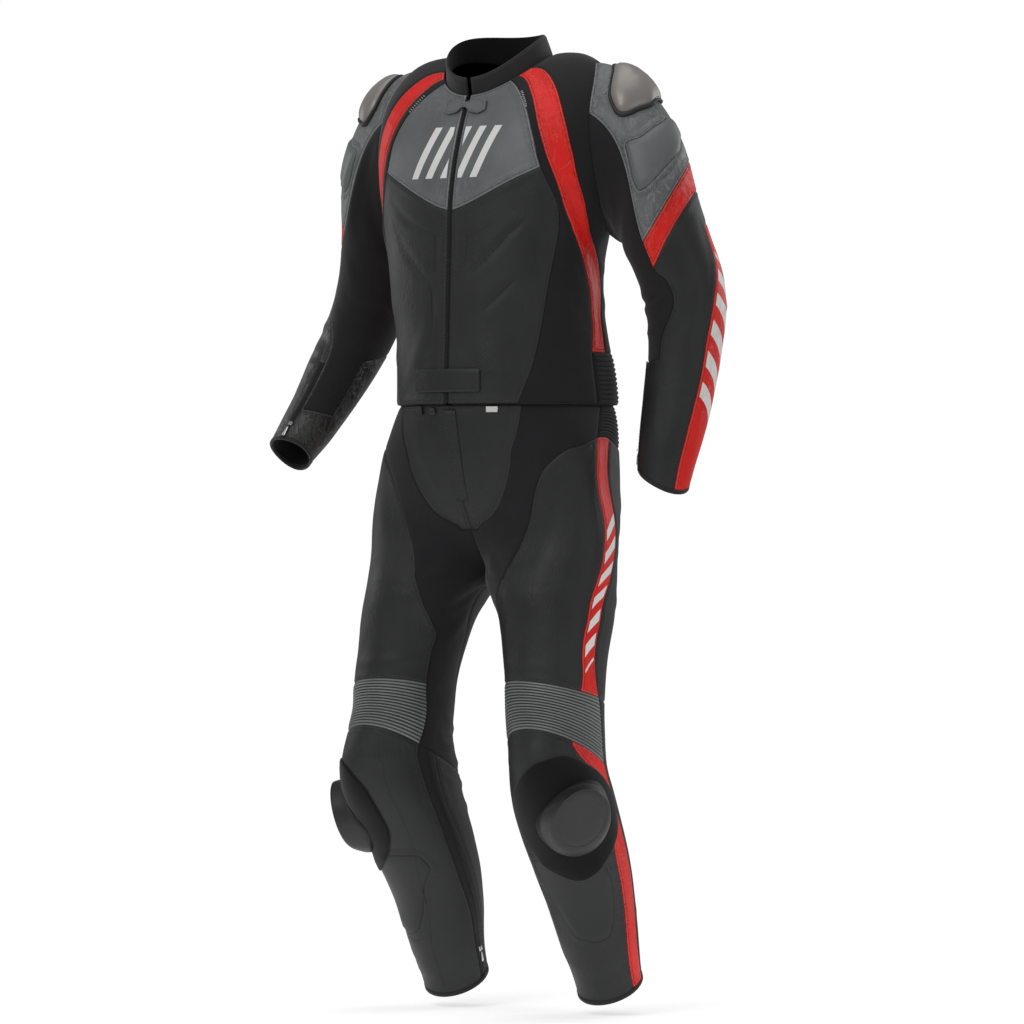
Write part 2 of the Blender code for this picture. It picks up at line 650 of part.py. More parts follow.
def strip(name, spots, half, thick, finish, lift=LIFT, crown=0.0):
    """A flat band along points of a surface, with square edges and a crowned top."""
    points, faces = [], []
    for k, (point, normal) in enumerate(spots):
        ahead = spots[min(k + 1, len(spots) - 1)][0] - spots[max(k - 1, 0)][0]
        across = np.cross(ahead, normal)
        across /= np.linalg.norm(across)
        width = half[k] if isinstance(half, (list, tuple)) else half
        low, high = point + normal * lift, point + normal * (lift + thick)
        points += [low - across * width, low + across * width, high + across * width,
                   high + normal * crown, high - across * width]
    for k in range(len(spots) - 1):
        for i in range(5):
            a, b = 5 * k + i, 5 * k + (i + 1) % 5
            faces.append([a + 5, b + 5, b, a])
    last = 5 * (len(spots) - 1)
    faces += [[0, 1, 2, 3, 4], [last + i for i in range(4, -1, -1)]]
    return add_object(name, points, faces, finish)


PULL_WIDE, PULL_THICK, PULL_LONG = 0.0030, 0.0012, 0.016
PULL_SPOTS = ((0.0, 0.5), (0.25, 0.6), (0.85, 1.0), (1.0, 0.7))     # share of the length, of the width
ZIP_WIDE, ZIP_THICK, ZIP_CROWN = 0.0045, 0.0014, 0.0008
CUFF_PULL_UP, CALF_PULL_UP = 0.75, 0.9          # rows above the cuff or leg end
CUFF_ZIP_COLUMN, CUFF_ZIP_PARTS = {"left": 6.5, "right": 3.5}, 10
CUFF_GUSSET, GUSSET_ROWS = {"left": (7, 10), "right": (4, 7)}, 3     # stretch let in beside the zip


def pull(name, grid, row, column, lift):
    """A zip's pull tab, narrow at its hinge, that hangs down a grid's column."""
    point, normal = grid.at(row, column)
    along = grid.at(row + 0.5, column)[0] - point
    along -= normal * (along @ normal)
    along /= np.linalg.norm(along)
    spots = [(point + along * PULL_LONG * f, normal) for f, _ in PULL_SPOTS]
    widths = [width * PULL_WIDE for _, width in PULL_SPOTS]
    strip(name, spots, widths, PULL_THICK, "zip_metal", lift)


def clip(polygon, outline):
    """The part of a polygon inside a convex outline, both of (row, column) pairs."""
    for a, b in zip(outline, outline[1:] + outline[:1]):
        kept = []
        inside = [(b[0] - a[0]) * (p[1] - a[1]) - (b[1] - a[1]) * (p[0] - a[0]) for p in polygon]
        for k, p in enumerate(polygon):
            before, depth = inside[k - 1], inside[k]
            if before * depth < 0:
                f = before / (before - depth)
                start = polygon[k - 1]
                kept.append((start[0] + f * (p[0] - start[0]), start[1] + f * (p[1] - start[1])))
            if depth >= 0:
                kept.append(p)
        polygon = kept
    return polygon


def footprint(grid, outline):
    """The triangles of a grid's cells cut along an outline: corners and the faces between them."""
    corners, faces = [], []
    area = sum(a[0] * b[1] - a[1] * b[0] for a, b in zip(outline, outline[1:] + outline[:1]))
    outline = outline if area > 0 else outline[::-1]
    rows, columns = ([math.floor(min(p[k] for p in outline)), math.ceil(max(p[k] for p in outline))]
                     for k in (0, 1))
    for r in range(*rows):
        for c in range(*columns):
            corner = [(r, c), (r, c + 1), (r + 1, c + 1), (r + 1, c)]
            if grid.turned[grid.cell(r, c)]:
                corner = corner[1:] + corner[:1]
            for triangle in fan(corner):
                face = []
                for spot in clip(list(triangle), outline):
                    near = [k for k, q in enumerate(corners) if math.dist(spot, q) < WELD]
                    if not near:
                        corners.append(spot)
                        near = [len(corners) - 1]
                    if near[0] not in face:
                        face.append(near[0])
                if len(face) > 2:
                    faces.append(face)
    return corners, faces


def border_loop(faces):
    edges = {(a, b) for face in faces for a, b in zip(face, face[1:] + face[:1])}
    after = {a: b for a, b in edges if (b, a) not in edges}
    loop = [min(after)]
    while after[loop[-1]] != loop[0]:
        loop.append(after[loop[-1]])
    return loop


def on_panel(name, grid, outline, lift, thick, finish):
    """A flat piece of cloth or pad that lies on a panel inside an outline."""
    corners, faces = footprint(grid, outline)
    cells = [[(*grid.at(*corners[k]), 0.0) for k in face] for face in faces]
    cells = cells if grid.flip > 0 else [[cell[0], *cell[:0:-1]] for cell in cells]
    wall(name, cells, thick, finish, base=lift + thick)


def dome(name, grid, outline, lift, finish, place, rings):
    """A hard piece on a panel: its underside follows the panel, and its top is rings of
    place(row, column, share, height), from the rim (share 1) to the middle."""
    corners, faces = footprint(grid, outline)
    loop = border_loop(faces)
    points = [p + n * lift for p, n in (grid.at(*corner) for corner in corners)]
    faces = [triangle[::-1] for face in faces for triangle in fan(face)]
    last = loop
    for share, height in rings:
        start = len(points)
        points += [place(*corners[k], share, height) for k in loop]
        new = [start + k for k in range(len(loop))]
        faces += [[last[k - 1], last[k], new[k], new[k - 1]] for k in range(len(loop))]
        last = new
    faces += [[last[k - 1], last[k], len(points)] for k in range(len(last))]
    points.append(place(*corners[loop[0]], 0, rings[-1][1]))
    if grid.flip < 0:
        faces = [face[::-1] for face in faces]
    return add_object(name, points, faces, finish)


# Jacket --------------------------------------------------------------------------------------
SIDES = (("left", 1), ("right", -1))


def raised(rows, columns, height):
    """Lift of a padded field: the grid points between these rows and columns stand out."""
    return lambda r, c: height if rows[0] <= r <= rows[1] and columns[0] <= c <= columns[1] else 0.0


def jacket_body(bodies):
    hem, lumbar, _, chest, _, neck = BODY_ROWS
    zip_edge, front, stripe, flank, arm, back, middle = BODY_COLUMNS
    for name, side in SIDES:
        grid = bodies[name]
        wall(f"chest_{name}", patch(grid, (chest, neck), (zip_edge, front)), LEATHER, "grey_leather")
        wall(f"front_{name}", patch(grid, (hem, chest), (zip_edge, front)), LEATHER, "black_leather")
        wall(f"side_{name}", patch(grid, (hem, neck), (front, stripe)), STRETCH, "black_stretch")
        wall(f"stripe_{name}", patch(grid, (lumbar, neck), (stripe, flank)), LEATHER, "red_leather")
        ahead = patch(grid, (lumbar, neck), (flank, arm))
        behind = patch(grid, (lumbar, neck), (arm + 1, back + 1))
        wall(f"flank_{name}", ahead + behind, STRETCH, "black_stretch")
    wall("back", [cell for grid in bodies.values()
                  for cell in patch(grid, (lumbar, neck), (back + 1, middle + 1))],
         LEATHER, "black_leather")
    each = JACKET_RIBS
    outside, inside = [], []
    for grid in bodies.values():
        for columns in ((stripe, arm), (arm + 1, middle + 1)):
            outside += patch(grid, (hem, lumbar), columns, ribs(hem, each), each)
            inside += patch(grid, (hem, lumbar), columns)
    wall("lumbar", outside, LEATHER, "black_stretch", inside)


COLLAR_RIM_Z, COLLAR_RIM_RISE, COLLAR_RIM_SIDE = 0.021, 0.036, 0.022
COLLAR_LEAN, COLLAR_FOOT = 0.89, 0.962                # the rim and the foot as shares of the neck
COLLAR_AHEAD = 0.012       # how far the rim's middle is ahead of the foot's
COLLAR_SEAT = 0.006        # how far the foot reaches below the neck edge
COLLAR_GAP = 3             # degrees from the middle of the front to each end of the collar
COLLAR_THICK = 0.0030
COLLAR_CELLS = (3, 26)     # up the collar, round it


def collar():
    """The stand collar: a band inside the neck edge, open at the front."""
    rows, stations = COLLAR_CELLS
    points = []
    for r in range(rows + 1):
        f = r / rows
        line = []
        for k in range(stations + 1):
            turn = math.radians(COLLAR_GAP + (360 - 2 * COLLAR_GAP) * k / stations)
            foot = neck_point(turn, COLLAR_FOOT) - np.array((0, 0, COLLAR_SEAT))
            rim = neck_point(turn, COLLAR_LEAN) - np.array((0, COLLAR_AHEAD, 0))
            rim[2] = (COLLAR_RIM_Z - COLLAR_RIM_RISE * math.cos(turn)
                      + COLLAR_RIM_SIDE * math.sin(turn) ** 2)
            line.append(foot * (1 - f) + rim * f)
        points.append(line)
    wall("collar", patch(Grid(points, 1), (0, rows), (0, stations)), COLLAR_THICK, "black_stretch")


FRONT_ZIP = (0.002, 1.957, 16)     # heights of its ends, stations
FRONT_ZIP_SUNK, FRONT_ZIP_INSET, FRONT_ZIP_THICK, FRONT_ZIP_CROWN = 0.0022, 0.0008, 0.0014, 0.0012
# Tabs across the zip: height, half length, wrap radius, half width, lobe, droop, tilt, thick, lift.
TABS = table(
    "tab height reach  wrap   half    lobe    droop tilt  thick   lift",
    (0, 0.137, 0.046, 0.150, 0.0175, 0.0000, 0.0, 0.00, 0.0024, 0.0011),
    (1, 1.900, 0.031, 0.085, 0.0095, 0.0035, 0.5, 0.42, 0.0022, 0.0034),
)
TAB_STATIONS = 8


def front_line(height):
    """Point and direction on the middle of the jacket's front."""
    step = 0.01
    ahead = body_surface(height + step, 0.0) - body_surface(height - step, 0.0)
    normal = np.array((0, -ahead[2], ahead[1]))
    return body_surface(height, 0.0), normal / np.linalg.norm(normal)


def tab(name, row, finish):
    """A tab across the front zip: a plain band, or a bow of two lobes and a waist."""
    height, reach, wrap, half, lobe, droop, tilt, thick, lift = (
        read(TABS, key, row) for key in "height reach wrap half lobe droop tilt thick lift".split())
    spots, widths = [], []
    for k in range(TAB_STATIONS + 1):
        share = 2 * k / TAB_STATIONS - 1
        turn = share * reach / wrap
        normal = np.array((math.sin(turn), -math.cos(turn), tilt))
        normal /= np.linalg.norm(normal)
        spots.append((body_surface(height - droop * abs(turn) ** 1.5, turn), normal))
        widths.append(half + lobe * math.sin(math.pi * abs(share)) ** 2)
    strip(name, spots, widths, thick, finish, lift)


def jacket_front():
    """The front zip and the two tabs across it."""
    low, high, stations = FRONT_ZIP
    spots = [front_line(low + (high - low) * k / stations) for k in range(stations + 1)]
    strip("front_zip", spots, ZIP_HALF - FRONT_ZIP_INSET, FRONT_ZIP_THICK, "zip_tape",
          -FRONT_ZIP_SUNK, FRONT_ZIP_CROWN)
    tab("hem_tab", 0, "black_leather")
    tab("neck_tab", 1, "grey_leather")


# Sleeves -------------------------------------------------------------------------------------
def sleeve(name, grid):
    knots = np.cumsum([line[0] for line in SLEEVE_LINES[name]])
    band, below, _, stretch, cuff = knots
    stripe, front, _, back, stripe_back, end = SLEEVE_COLUMNS
    top = patch(grid, (0, band), (stripe, front), raised((4, 5), (1, 2), PAD))
    top += patch(grid, (0, band), (back, end))
    wall(f"sleeve_top_{name}", top, LEATHER, "grey_leather")
    start, stop = CUFF_GUSSET[name]
    low = stretch + GUSSET_ROWS
    inner = patch(grid, (0, stretch), (front, back)) + patch(grid, (stretch, low), (start, stop))
    wall(f"sleeve_inner_{name}", inner, STRETCH, "black_stretch")
    around = patch(grid, (band, below), (stripe, front)) + patch(grid, (band, below), (back, end))
    wall(f"arm_band_{name}", around, LEATHER, "red_leather")
    lower = patch(grid, (below, cuff), (stripe, front)) + patch(grid, (low, cuff), (start, stop))
    for columns in ((front, start), (stop, back)):
        lower += patch(grid, (stretch, cuff), columns)
    lower += patch(grid, (below, cuff), (back, stripe_back))
    lower += patch(grid, (below, below + 1), (stripe_back, end))
    wall(f"forearm_{name}", lower, LEATHER, "black_leather")
    outside = patch(grid, (below + 1, cuff), (stripe_back, end))
    wall(f"forearm_stripe_{name}", outside, LEATHER, "red_leather")
    column = CUFF_ZIP_COLUMN[name]
    length = cuff - stretch
    spots = [grid.at(stretch + length * k / CUFF_ZIP_PARTS, column)
             for k in range(CUFF_ZIP_PARTS + 1)]
    strip(f"cuff_zip_{name}", spots, ZIP_WIDE, ZIP_THICK, "zip_tape", crown=ZIP_CROWN)
    pull(f"cuff_pull_{name}", grid, cuff - CUFF_PULL_UP, column, ZIP_THICK + ZIP_CROWN + 2 * LIFT)
    shoulder_cup(name, grid)


CUP_MIDDLE = (1.75, 0.2)   # row and column of the sleeve
# From the cup's middle: rows and columns of its edge.
CUP_EDGE = ((-1.30, -1.40), (-1.35, -0.40), (-1.00, 0.70), (-0.50, 1.60), (0.05, 2.05), (0.55, 1.85),
            (1.00, 1.00), (1.30, -0.20), (1.30, -1.40), (0.85, -2.30), (0.00, -2.75), (-0.85, -2.30))
CUP_RINGS = ((1.0, 0.0030), (0.94, 0.0055), (0.90, 0.0040), (0.78, 0.0090), (0.52, 0.0135), (0.26, 0.0155))


def shoulder_cup(name, grid):
    """The hard plate on the shoulder: a rim, a groove and a dome, over the sleeve's top."""
    row, column = CUP_MIDDLE

    def place(r, c, share, height):
        point, normal = grid.at(row + share * (r - row), column + share * (c - column))
        return point + normal * (LIFT + height)

    outline = [(row + r, column + c) for r, c in CUP_EDGE]
    dome(f"shoulder_cup_{name}", grid, outline, LIFT, "shell", place, CUP_RINGS)


# Trousers ------------------------------------------------------------------------------------
def trousers_both(legs):
    """The pieces that cross the middle: seat and lumbar accordion."""
    stripe, outer, seat, end = LEG_COLUMNS[3:]
    waist, hip, _, crotch, knee_top = LEG_ROWS[:5]
    cells, outside, inside = [], [], []
    each = TROUSER_RIBS
    for grid in legs.values():
        cells += patch(grid, (hip, crotch), (outer, end)) + patch(grid, (crotch, knee_top), (outer, seat))
        outside += patch(grid, (waist, hip), (stripe, end), ribs(waist, each), each)
        inside += patch(grid, (waist, hip), (stripe, end))
    wall("seat", cells, LEATHER, "black_leather")
    wall("trouser_lumbar", outside, LEATHER, "black_stretch", inside)


# Rows of the jacket's body that the waistband reaches, and how far it stays inside them.
WAISTBAND_RINGS = ((0.35, -0.0026), (1.0, -0.0045))
FLY_HALF, FLY_THICK, FLY_STATIONS = 0.011, 0.0018, 9
FLY_TOP_Z, FLY_END_Z = -0.516, -0.652
FLY_OUT = np.array((0, -0.96, -0.28))


def waist(bodies):
    """The waistband inside the jacket's hem, and the fly that covers the trousers' zip."""
    columns = range(BODY_COLUMNS[-1] + 2)
    around = [(bodies["left"], c) for c in columns] + [(bodies["right"], c) for c in columns[-2::-1]]
    foot = []
    for grid, column in around:
        x, y, _ = grid.points[0, column]
        point = leg_surface(WAIST_Z, math.atan2(abs(x), -y) / math.pi)
        foot.append(point * (math.copysign(1, x), 1, 1) + (0, 0, 2 * SEAM))
    rings = [foot]
    for row, out in WAISTBAND_RINGS:
        rings.append([point + normal * out for point, normal in
                      (grid.at(row, column) for grid, column in around)])
    rings = [[p for k, p in enumerate(ring) if k == 0 or math.dist(p, ring[k - 1]) > SEAM]
             for ring in rings]
    grid = Grid([ring + ring[:1] for ring in rings], 1)
    for r in range(len(rings)):
        join_normals((grid, (r, 0)), (grid, (r, len(rings[0]))))
    wall("waistband", patch(grid, (0, len(rings) - 1), (0, len(rings[0]))), STRETCH, "black_stretch")
    heights = np.linspace(FLY_TOP_Z, FLY_END_Z, FLY_STATIONS)
    spots = [(leg_surface(z, 0.0), FLY_OUT) for z in heights]
    strip("fly", spots, FLY_HALF, FLY_THICK, "black_leather")


SHIN_PAD = (8, 11)         # columns of the padded field on the shin


def leg(name, grid):
    middle, yoke, thigh, stripe, outer, seat, end = LEG_COLUMNS
    waist, hip, point, crotch, knee_top, knee_end, below, foot = LEG_ROWS
    wall(f"yoke_{name}", patch(grid, (waist, point), (middle, yoke)), LEATHER, "black_leather")
    cells = patch(grid, (waist, hip), (yoke, stripe)) + patch(grid, (hip, knee_end), (yoke, thigh))
    cells += patch(grid, (point, knee_end), (middle, yoke))
    cells += patch(grid, (crotch, knee_end), (seat, end))
    wall(f"leg_inner_{name}", cells, STRETCH, "black_stretch")
    wall(f"thigh_{name}", patch(grid, (hip, knee_top), (thigh, stripe)), LEATHER, "black_leather")
    wall(f"thigh_stripe_{name}", patch(grid, (hip, knee_top), (stripe, outer)), LEATHER, "red_leather")
    each = KNEE_RIBS
    knee = (grid, (knee_top, knee_end), (thigh, outer))
    ribbed = patch(*knee, ribs(knee_top, each), each)
    wall(f"knee_ribs_{name}", ribbed, LEATHER, "ribbed_grey", patch(*knee))
    padded = raised((below + 1, below + 2), SHIN_PAD, PAD)
    wall(f"shin_{name}", patch(grid, (knee_end, foot), (thigh, stripe), padded), LEATHER, "black_leather")
    wall(f"shin_stripe_{name}", patch(grid, (knee_end, foot), (stripe, outer)), LEATHER, "red_leather")
    cells = patch(grid, (knee_top, foot), (outer, seat)) + patch(grid, (knee_end, foot), (seat, end))
    cells += patch(grid, (knee_end, foot), (middle, yoke))
    wall(f"calf_{name}", cells, LEATHER, "black_leather")
    wall(f"calf_zip_{name}", patch(grid, (knee_end, foot), (yoke, thigh)), STRETCH, "zip_tape")
    column = 0.5 * (yoke + thigh)
    pull(f"calf_pull_{name}", grid, foot - CALF_PULL_UP, column, 3 * LIFT)
    knee_guard(name, grid)


PATCH_THICK = 0.0030
# Edge of the hook patch under the slider, by row and column of the leg.
PATCH_EDGE = ((16.1, 7.4), (15.1, 8.8), (14.7, 10.1), (14.5, 11.3), (14.6, 12.2), (15.2, 12.7),
              (16.0, 12.7), (16.7, 12.1), (17.4, 11.1), (17.9, 9.9), (17.8, 8.6), (17.1, 7.6))
GUARD_SHIFT = {"left": 0.0, "right": 0.7}     # columns that the patch and slider sit further round
SLIDER_MIDDLE = (16.2, 10.3)
SLIDER_REACH = (0.055, 0.063)     # half width and half height of the slider's base
SLIDER_FACE = (0.012, -0.012)     # how far its face sits outward of and below the base's middle
SLIDER_TALL = 0.45                # how much less its face narrows in height than in width
SLIDER_SLOPE = 3.0                # how much of the leg's curve its first rings keep
SLIDER_CORNERS = 16
# Share of the base's reach, and height over its middle.
SLIDER_RINGS = ((0.94, 0.013), (0.84, 0.0225), (0.79, 0.0250), (0.42, 0.0260))


def knee_guard(name, grid):
    """The hook patch on the shin and the slider on it."""
    edge = [(r, c + GUARD_SHIFT[name]) for r, c in PATCH_EDGE]
    on_panel(f"knee_patch_{name}", grid, edge, LIFT, PATCH_THICK, "hook_pad")
    start = (SLIDER_MIDDLE[0], SLIDER_MIDDLE[1] + GUARD_SHIFT[name])
    middle, out = grid.at(*start)
    down = out * out[2] - np.array((0, 0, 1))
    down /= np.linalg.norm(down)
    aside = np.cross(down, out) * grid.flip
    base = 2 * LIFT + PATCH_THICK
    face = SLIDER_RINGS[2]

    def place(r, c, share, height):
        edge = grid.at(r, c)[0] - middle
        across, along, below = edge @ aside, edge @ down, edge @ out
        moved = min((1 - share) / (1 - face[0]), 1)
        across = across * share + SLIDER_FACE[0] * moved
        along = along * (1 - (1 - share) * SLIDER_TALL) * (share > 0) + SLIDER_FACE[1] * moved
        rise = base + height + below * max(share - SLIDER_RINGS[1][0], 0) * SLIDER_SLOPE
        return middle + aside * across + down * along + out * rise

    outline = []
    for k in range(SLIDER_CORNERS):
        turn = 2 * math.pi * k / SLIDER_CORNERS
        target = np.array((SLIDER_REACH[0] * math.cos(turn), SLIDER_REACH[1] * math.sin(turn)))
        outline.append(settle(grid, start, target, aside, down))
    dome(f"knee_slider_{name}", grid, outline, base, "slider_plastic", place, SLIDER_RINGS)


def settle(grid, start, target, aside, down):
    """Row and column of the grid point that lies at a place in the plane of aside and down."""
    spot, middle = np.array(start, float), grid.at(*start)[0]

    def plane(at):
        offset = grid.at(*at)[0] - middle
        return np.array((offset @ aside, offset @ down))

    for _ in range(12):
        step = 0.05
        slope = np.column_stack([(plane(spot + d) - plane(spot)) / step
                                 for d in (np.array((step, 0)), np.array((0, step)))])
        spot = spot + 0.7 * np.linalg.solve(slope, target - plane(spot))
    return tuple(float(v) for v in spot)


def main():
    for old in list(bpy.data.objects):
        bpy.data.objects.remove(old, do_unlink=True)
    bodies = {name: body_grid(side) for name, side in SIDES}
    sleeves = {name: sleeve_grid(name, side, bodies[name]) for name, side in SIDES}
    legs = {name: leg_grid(side) for name, side in SIDES}
    jacket_body(bodies)
    collar()
    jacket_front()
    for name, side in SIDES:
        sleeve(name, sleeves[name])
    trousers_both(legs)
    waist(bodies)
    for name, side in SIDES:
        leg(name, legs[name])


main()
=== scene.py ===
"""The finishes of a two-piece motorcycle race suit: every sewn panel as a shell of leather or
stretch cloth with its folds, seams and stitching, and its zips, plates and sliders.

Metres, +Z up.  The wearer faces -Y and the wearer's left side is +X.
"""
import math

import bpy
import numpy as np
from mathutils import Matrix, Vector, noise
from mathutils.bvhtree import BVHTree


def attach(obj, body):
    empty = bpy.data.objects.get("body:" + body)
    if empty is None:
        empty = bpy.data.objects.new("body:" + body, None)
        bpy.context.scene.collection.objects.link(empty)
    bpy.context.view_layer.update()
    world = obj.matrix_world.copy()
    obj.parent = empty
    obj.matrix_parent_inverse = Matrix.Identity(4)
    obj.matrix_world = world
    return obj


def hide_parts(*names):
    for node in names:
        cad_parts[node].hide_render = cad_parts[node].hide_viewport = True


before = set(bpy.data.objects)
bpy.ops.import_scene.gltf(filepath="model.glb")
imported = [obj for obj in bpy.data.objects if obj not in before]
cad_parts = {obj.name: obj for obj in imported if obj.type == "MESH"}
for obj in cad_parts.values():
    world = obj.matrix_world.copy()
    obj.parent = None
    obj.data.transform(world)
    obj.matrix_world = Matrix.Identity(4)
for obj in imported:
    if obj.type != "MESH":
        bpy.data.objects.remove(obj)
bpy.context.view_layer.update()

# Sizes ------------------------------------------------------------------------------------------
LEATHER_THICK, STRETCH_THICK = 0.0019, 0.0015
SEAM_GAP = 0.00025         # each panel stops this far from the middle of its seam
SEAM_ALLOWANCE = 0.0008    # how far its lining runs on under the next one
SEAM_CALM = 0.006          # folds fade out about this near a seam
LINING_LIFT = 0.001        # the inside follows folds no further out than this
PAD_OUT, PAD_SLOPE = 0.0015, 0.008     # a pad starts this far outside its edge, and rises over this
SEAM_DEEP, SEAM_WIDE = 0.0016, 0.0022       # how far and over what width a panel dips to its seam
LEATHER_PROUD = 0.0004     # how far leather stands above the stretch beside it
HEM_Z, ARMPIT_Z, CROTCH_Z = -0.506, -0.2555, -0.7725
WAIST_Z, HIP_END = -0.509, -0.60
NECK_HALF, NECK_DEEP = 0.086, 0.084
NECK_MIDDLE_Z, NECK_RISE, NECK_SIDE = -0.0091, 0.0304, 0.0271
CHEST_CORNER = 0.020
ZIP_HALF, TAPE_HALF = 0.0037, 0.0067
HIP_ROUND = 2.2


def table(header, *rows):
    """Named columns over the first one, which rises; each is a smooth curve read by read()."""
    columns = {name: np.array(values, float) for name, values in zip(header.split(), zip(*rows))}
    keys = columns[header.split()[0]]
    return {name: (keys, v, np.gradient(v, keys)) for name, v in columns.items()}


def read(curves, name, at):
    """Values of a table's column at places along the first column, straight beyond its ends."""
    keys, values, slopes = curves[name]
    at = np.asarray(at, float)
    held = np.clip(at, keys[0], keys[-1])
    i = np.clip(np.searchsorted(keys, held) - 1, 0, len(keys) - 2)
    step = keys[i + 1] - keys[i]
    f = (held - keys[i]) / step
    start = (1 + 2 * f) * (1 - f) ** 2 * values[i] + f * (1 - f) ** 2 * step * slopes[i]
    end = f * f * (3 - 2 * f) * values[i + 1] - f * f * (1 - f) * step * slopes[i + 1]
    beyond = at - held
    return start + end + beyond * np.where(beyond < 0, slopes[0], slopes[-1])


def between(knots, values, at):
    """Straight steps between knots; each value is a number or an array like at."""
    at = np.asarray(at, float)
    knots = np.asarray(knots, float)
    values = np.stack([np.broadcast_to(v, at.shape) for v in values])
    i = np.clip(np.searchsorted(knots, at, side="right") - 1, 0, len(knots) - 2)
    low = np.take_along_axis(values, i[None], 0)[0]
    high = np.take_along_axis(values, i[None] + 1, 0)[0]
    return low + np.clip((at - knots[i]) / (knots[i + 1] - knots[i]), 0, 1) * (high - low)


def unit(vectors):
    return vectors / np.maximum(np.linalg.norm(vectors, axis=-1, keepdims=True), 1e-12)


# Level sections of the jacket's body: half width, and the depth (Y) of the widest point, of the
# front and of the back.
BODY = table(
    "z        half    side     front    back",
    (-0.5065, 0.1705, 0.0450, -0.1450, 0.1450),
    (-0.4550, 0.1690, 0.0380, -0.1445, 0.1340),
    (-0.4075, 0.1660, 0.0230, -0.1420, 0.1260),
    (-0.3528, 0.1670, -0.0020, -0.1405, 0.1250),
    (-0.2889, 0.1715, -0.0150, -0.1380, 0.1300),
    (-0.2555, 0.1770, -0.0150, -0.1365, 0.1350),
)
# Level sections of the trousers, both legs together, down to the crotch.
HIPS = table(
    "z        half    side     front    back",
    (-0.7725, 0.2080, -0.0300, -0.0700, 0.1150),
    (-0.7010, 0.2065, -0.0400, -0.0887, 0.1500),
    (-0.6356, 0.1967, -0.0340, -0.1074, 0.1600),
    (-0.5733, 0.1870, -0.0060, -0.1240, 0.1530),
    (-0.5400, 0.1780, 0.0180, -0.1310, 0.1460),
    (-0.5090, 0.1660, 0.0400, -0.1370, 0.1380),
)
# Level sections of a leg: middle, half width, half depth, and the turn outward in degrees.
LEG = table(
    "z        x       y        half    deep    turn",
    (-1.4050, 0.1416, 0.0960, 0.0505, 0.0520, 0),
    (-1.3808, 0.1416, 0.0850, 0.0515, 0.0530, 0),
    (-1.3397, 0.1420, 0.0660, 0.0565, 0.0585, 0),
    (-1.2637, 0.1394, 0.0411, 0.0655, 0.0700, 3),
    (-1.2105, 0.1397, 0.0160, 0.0720, 0.0800, 7),
    (-1.1603, 0.1420, -0.0120, 0.0755, 0.0890, 11),
    (-1.0918, 0.1460, -0.0480, 0.0740, 0.1000, 14),
    (-1.0462, 0.1450, -0.0600, 0.0695, 0.0980, 14),
    (-1.0021, 0.1420, -0.0600, 0.0695, 0.0890, 10),
    (-0.9702, 0.1385, -0.0570, 0.0715, 0.0830, 9),
    (-0.9307, 0.1369, -0.0545, 0.0730, 0.0840, 8),
    (-0.8637, 0.1301, -0.0420, 0.0800, 0.0870, 5),
    (-0.8181, 0.1240, -0.0315, 0.0875, 0.0940, 2),
    (-0.7900, 0.1135, -0.0260, 0.0950, 0.1000, 0),
    (-0.7725, 0.1040, -0.0220, 0.1040, 0.1040, 0),
)
# Level sections of the sleeves, the left one hanging, the right one with its forearm forward.
SLEEVE = {
    "left": table(
        "z        x       y        half    deep",
        (-0.6265, 0.2794, 0.0270, 0.0375, 0.0375),
        (-0.6052, 0.2805, 0.0300, 0.0410, 0.0410),
        (-0.5535, 0.2866, 0.0380, 0.0475, 0.0475),
        (-0.4957, 0.2918, 0.0480, 0.0515, 0.0520),
        (-0.4227, 0.2961, 0.0580, 0.0547, 0.0560),
        (-0.3513, 0.2950, 0.0600, 0.0610, 0.0620),
        (-0.3011, 0.2840, 0.0540, 0.0665, 0.0680),
        (-0.2555, 0.2670, 0.0450, 0.0700, 0.0720),
        (-0.2100, 0.2540, 0.0360, 0.0705, 0.0735),
        (-0.1300, 0.2350, 0.0250, 0.0710, 0.0760),
    ),
    "right": table(
        "z        x       y        half    deep",
        (-0.5950, 0.3220, -0.1120, 0.0360, 0.0420),
        (-0.5596, 0.3085, -0.0900, 0.0425, 0.0500),
        (-0.5277, 0.2985, -0.0700, 0.0460, 0.0540),
        (-0.4927, 0.2908, -0.0450, 0.0490, 0.0575),
        (-0.4349, 0.2851, -0.0010, 0.0545, 0.0640),
        (-0.3878, 0.2800, 0.0310, 0.0565, 0.0640),
        (-0.3269, 0.2690, 0.0540, 0.0608, 0.0640),
        (-0.2722, 0.2560, 0.0500, 0.0615, 0.0650),
        (-0.2100, 0.2420, 0.0380, 0.0640, 0.0700),
        (-0.1300, 0.2350, 0.0250, 0.0710, 0.0760),
    ),
}
# Seams of the jacket's body by height, in degrees from the front round the side to the back.
BODY_COLUMNS = (0, 4, 7, 8, 10, 13, 16)
BODY_SEAMS = table(
    "height front  stripe  flank  arm  back",
    (0.00, 37, 82, 93, 108, 134),
    (0.28, 47, 82, 93, 108, 134),
    (0.50, 53, 88, 99, 112, 136),
    (0.72, 58, 90, 106, 116, 138),
    (0.90, 61, 82, 97, 108, 137),
    (1.00, 61, 71, 86, 106, 137),
    (1.08, 58, 62, 77, 101, 136),
    (1.17, 51, 55, 67, 96, 134),
    (1.28, 45, 49, 61, 94, 134),
    (1.45, 42, 45, 57, 92, 134),
    (1.70, 42, 46, 58, 90, 134),
    (2.00, 44, 52, 66, 90, 132),
)
BODY_ROWS = (0, 2, 6, 9, 14, 17)       # hem, lumbar top, armpit, chest seam, armhole top, neck
LUMBAR_TOP, ARMHOLE_TOP = 0.31, 1.70
CHEST_SEAM, CHEST_STRAIGHT = (1.17, 1.36), 0.03
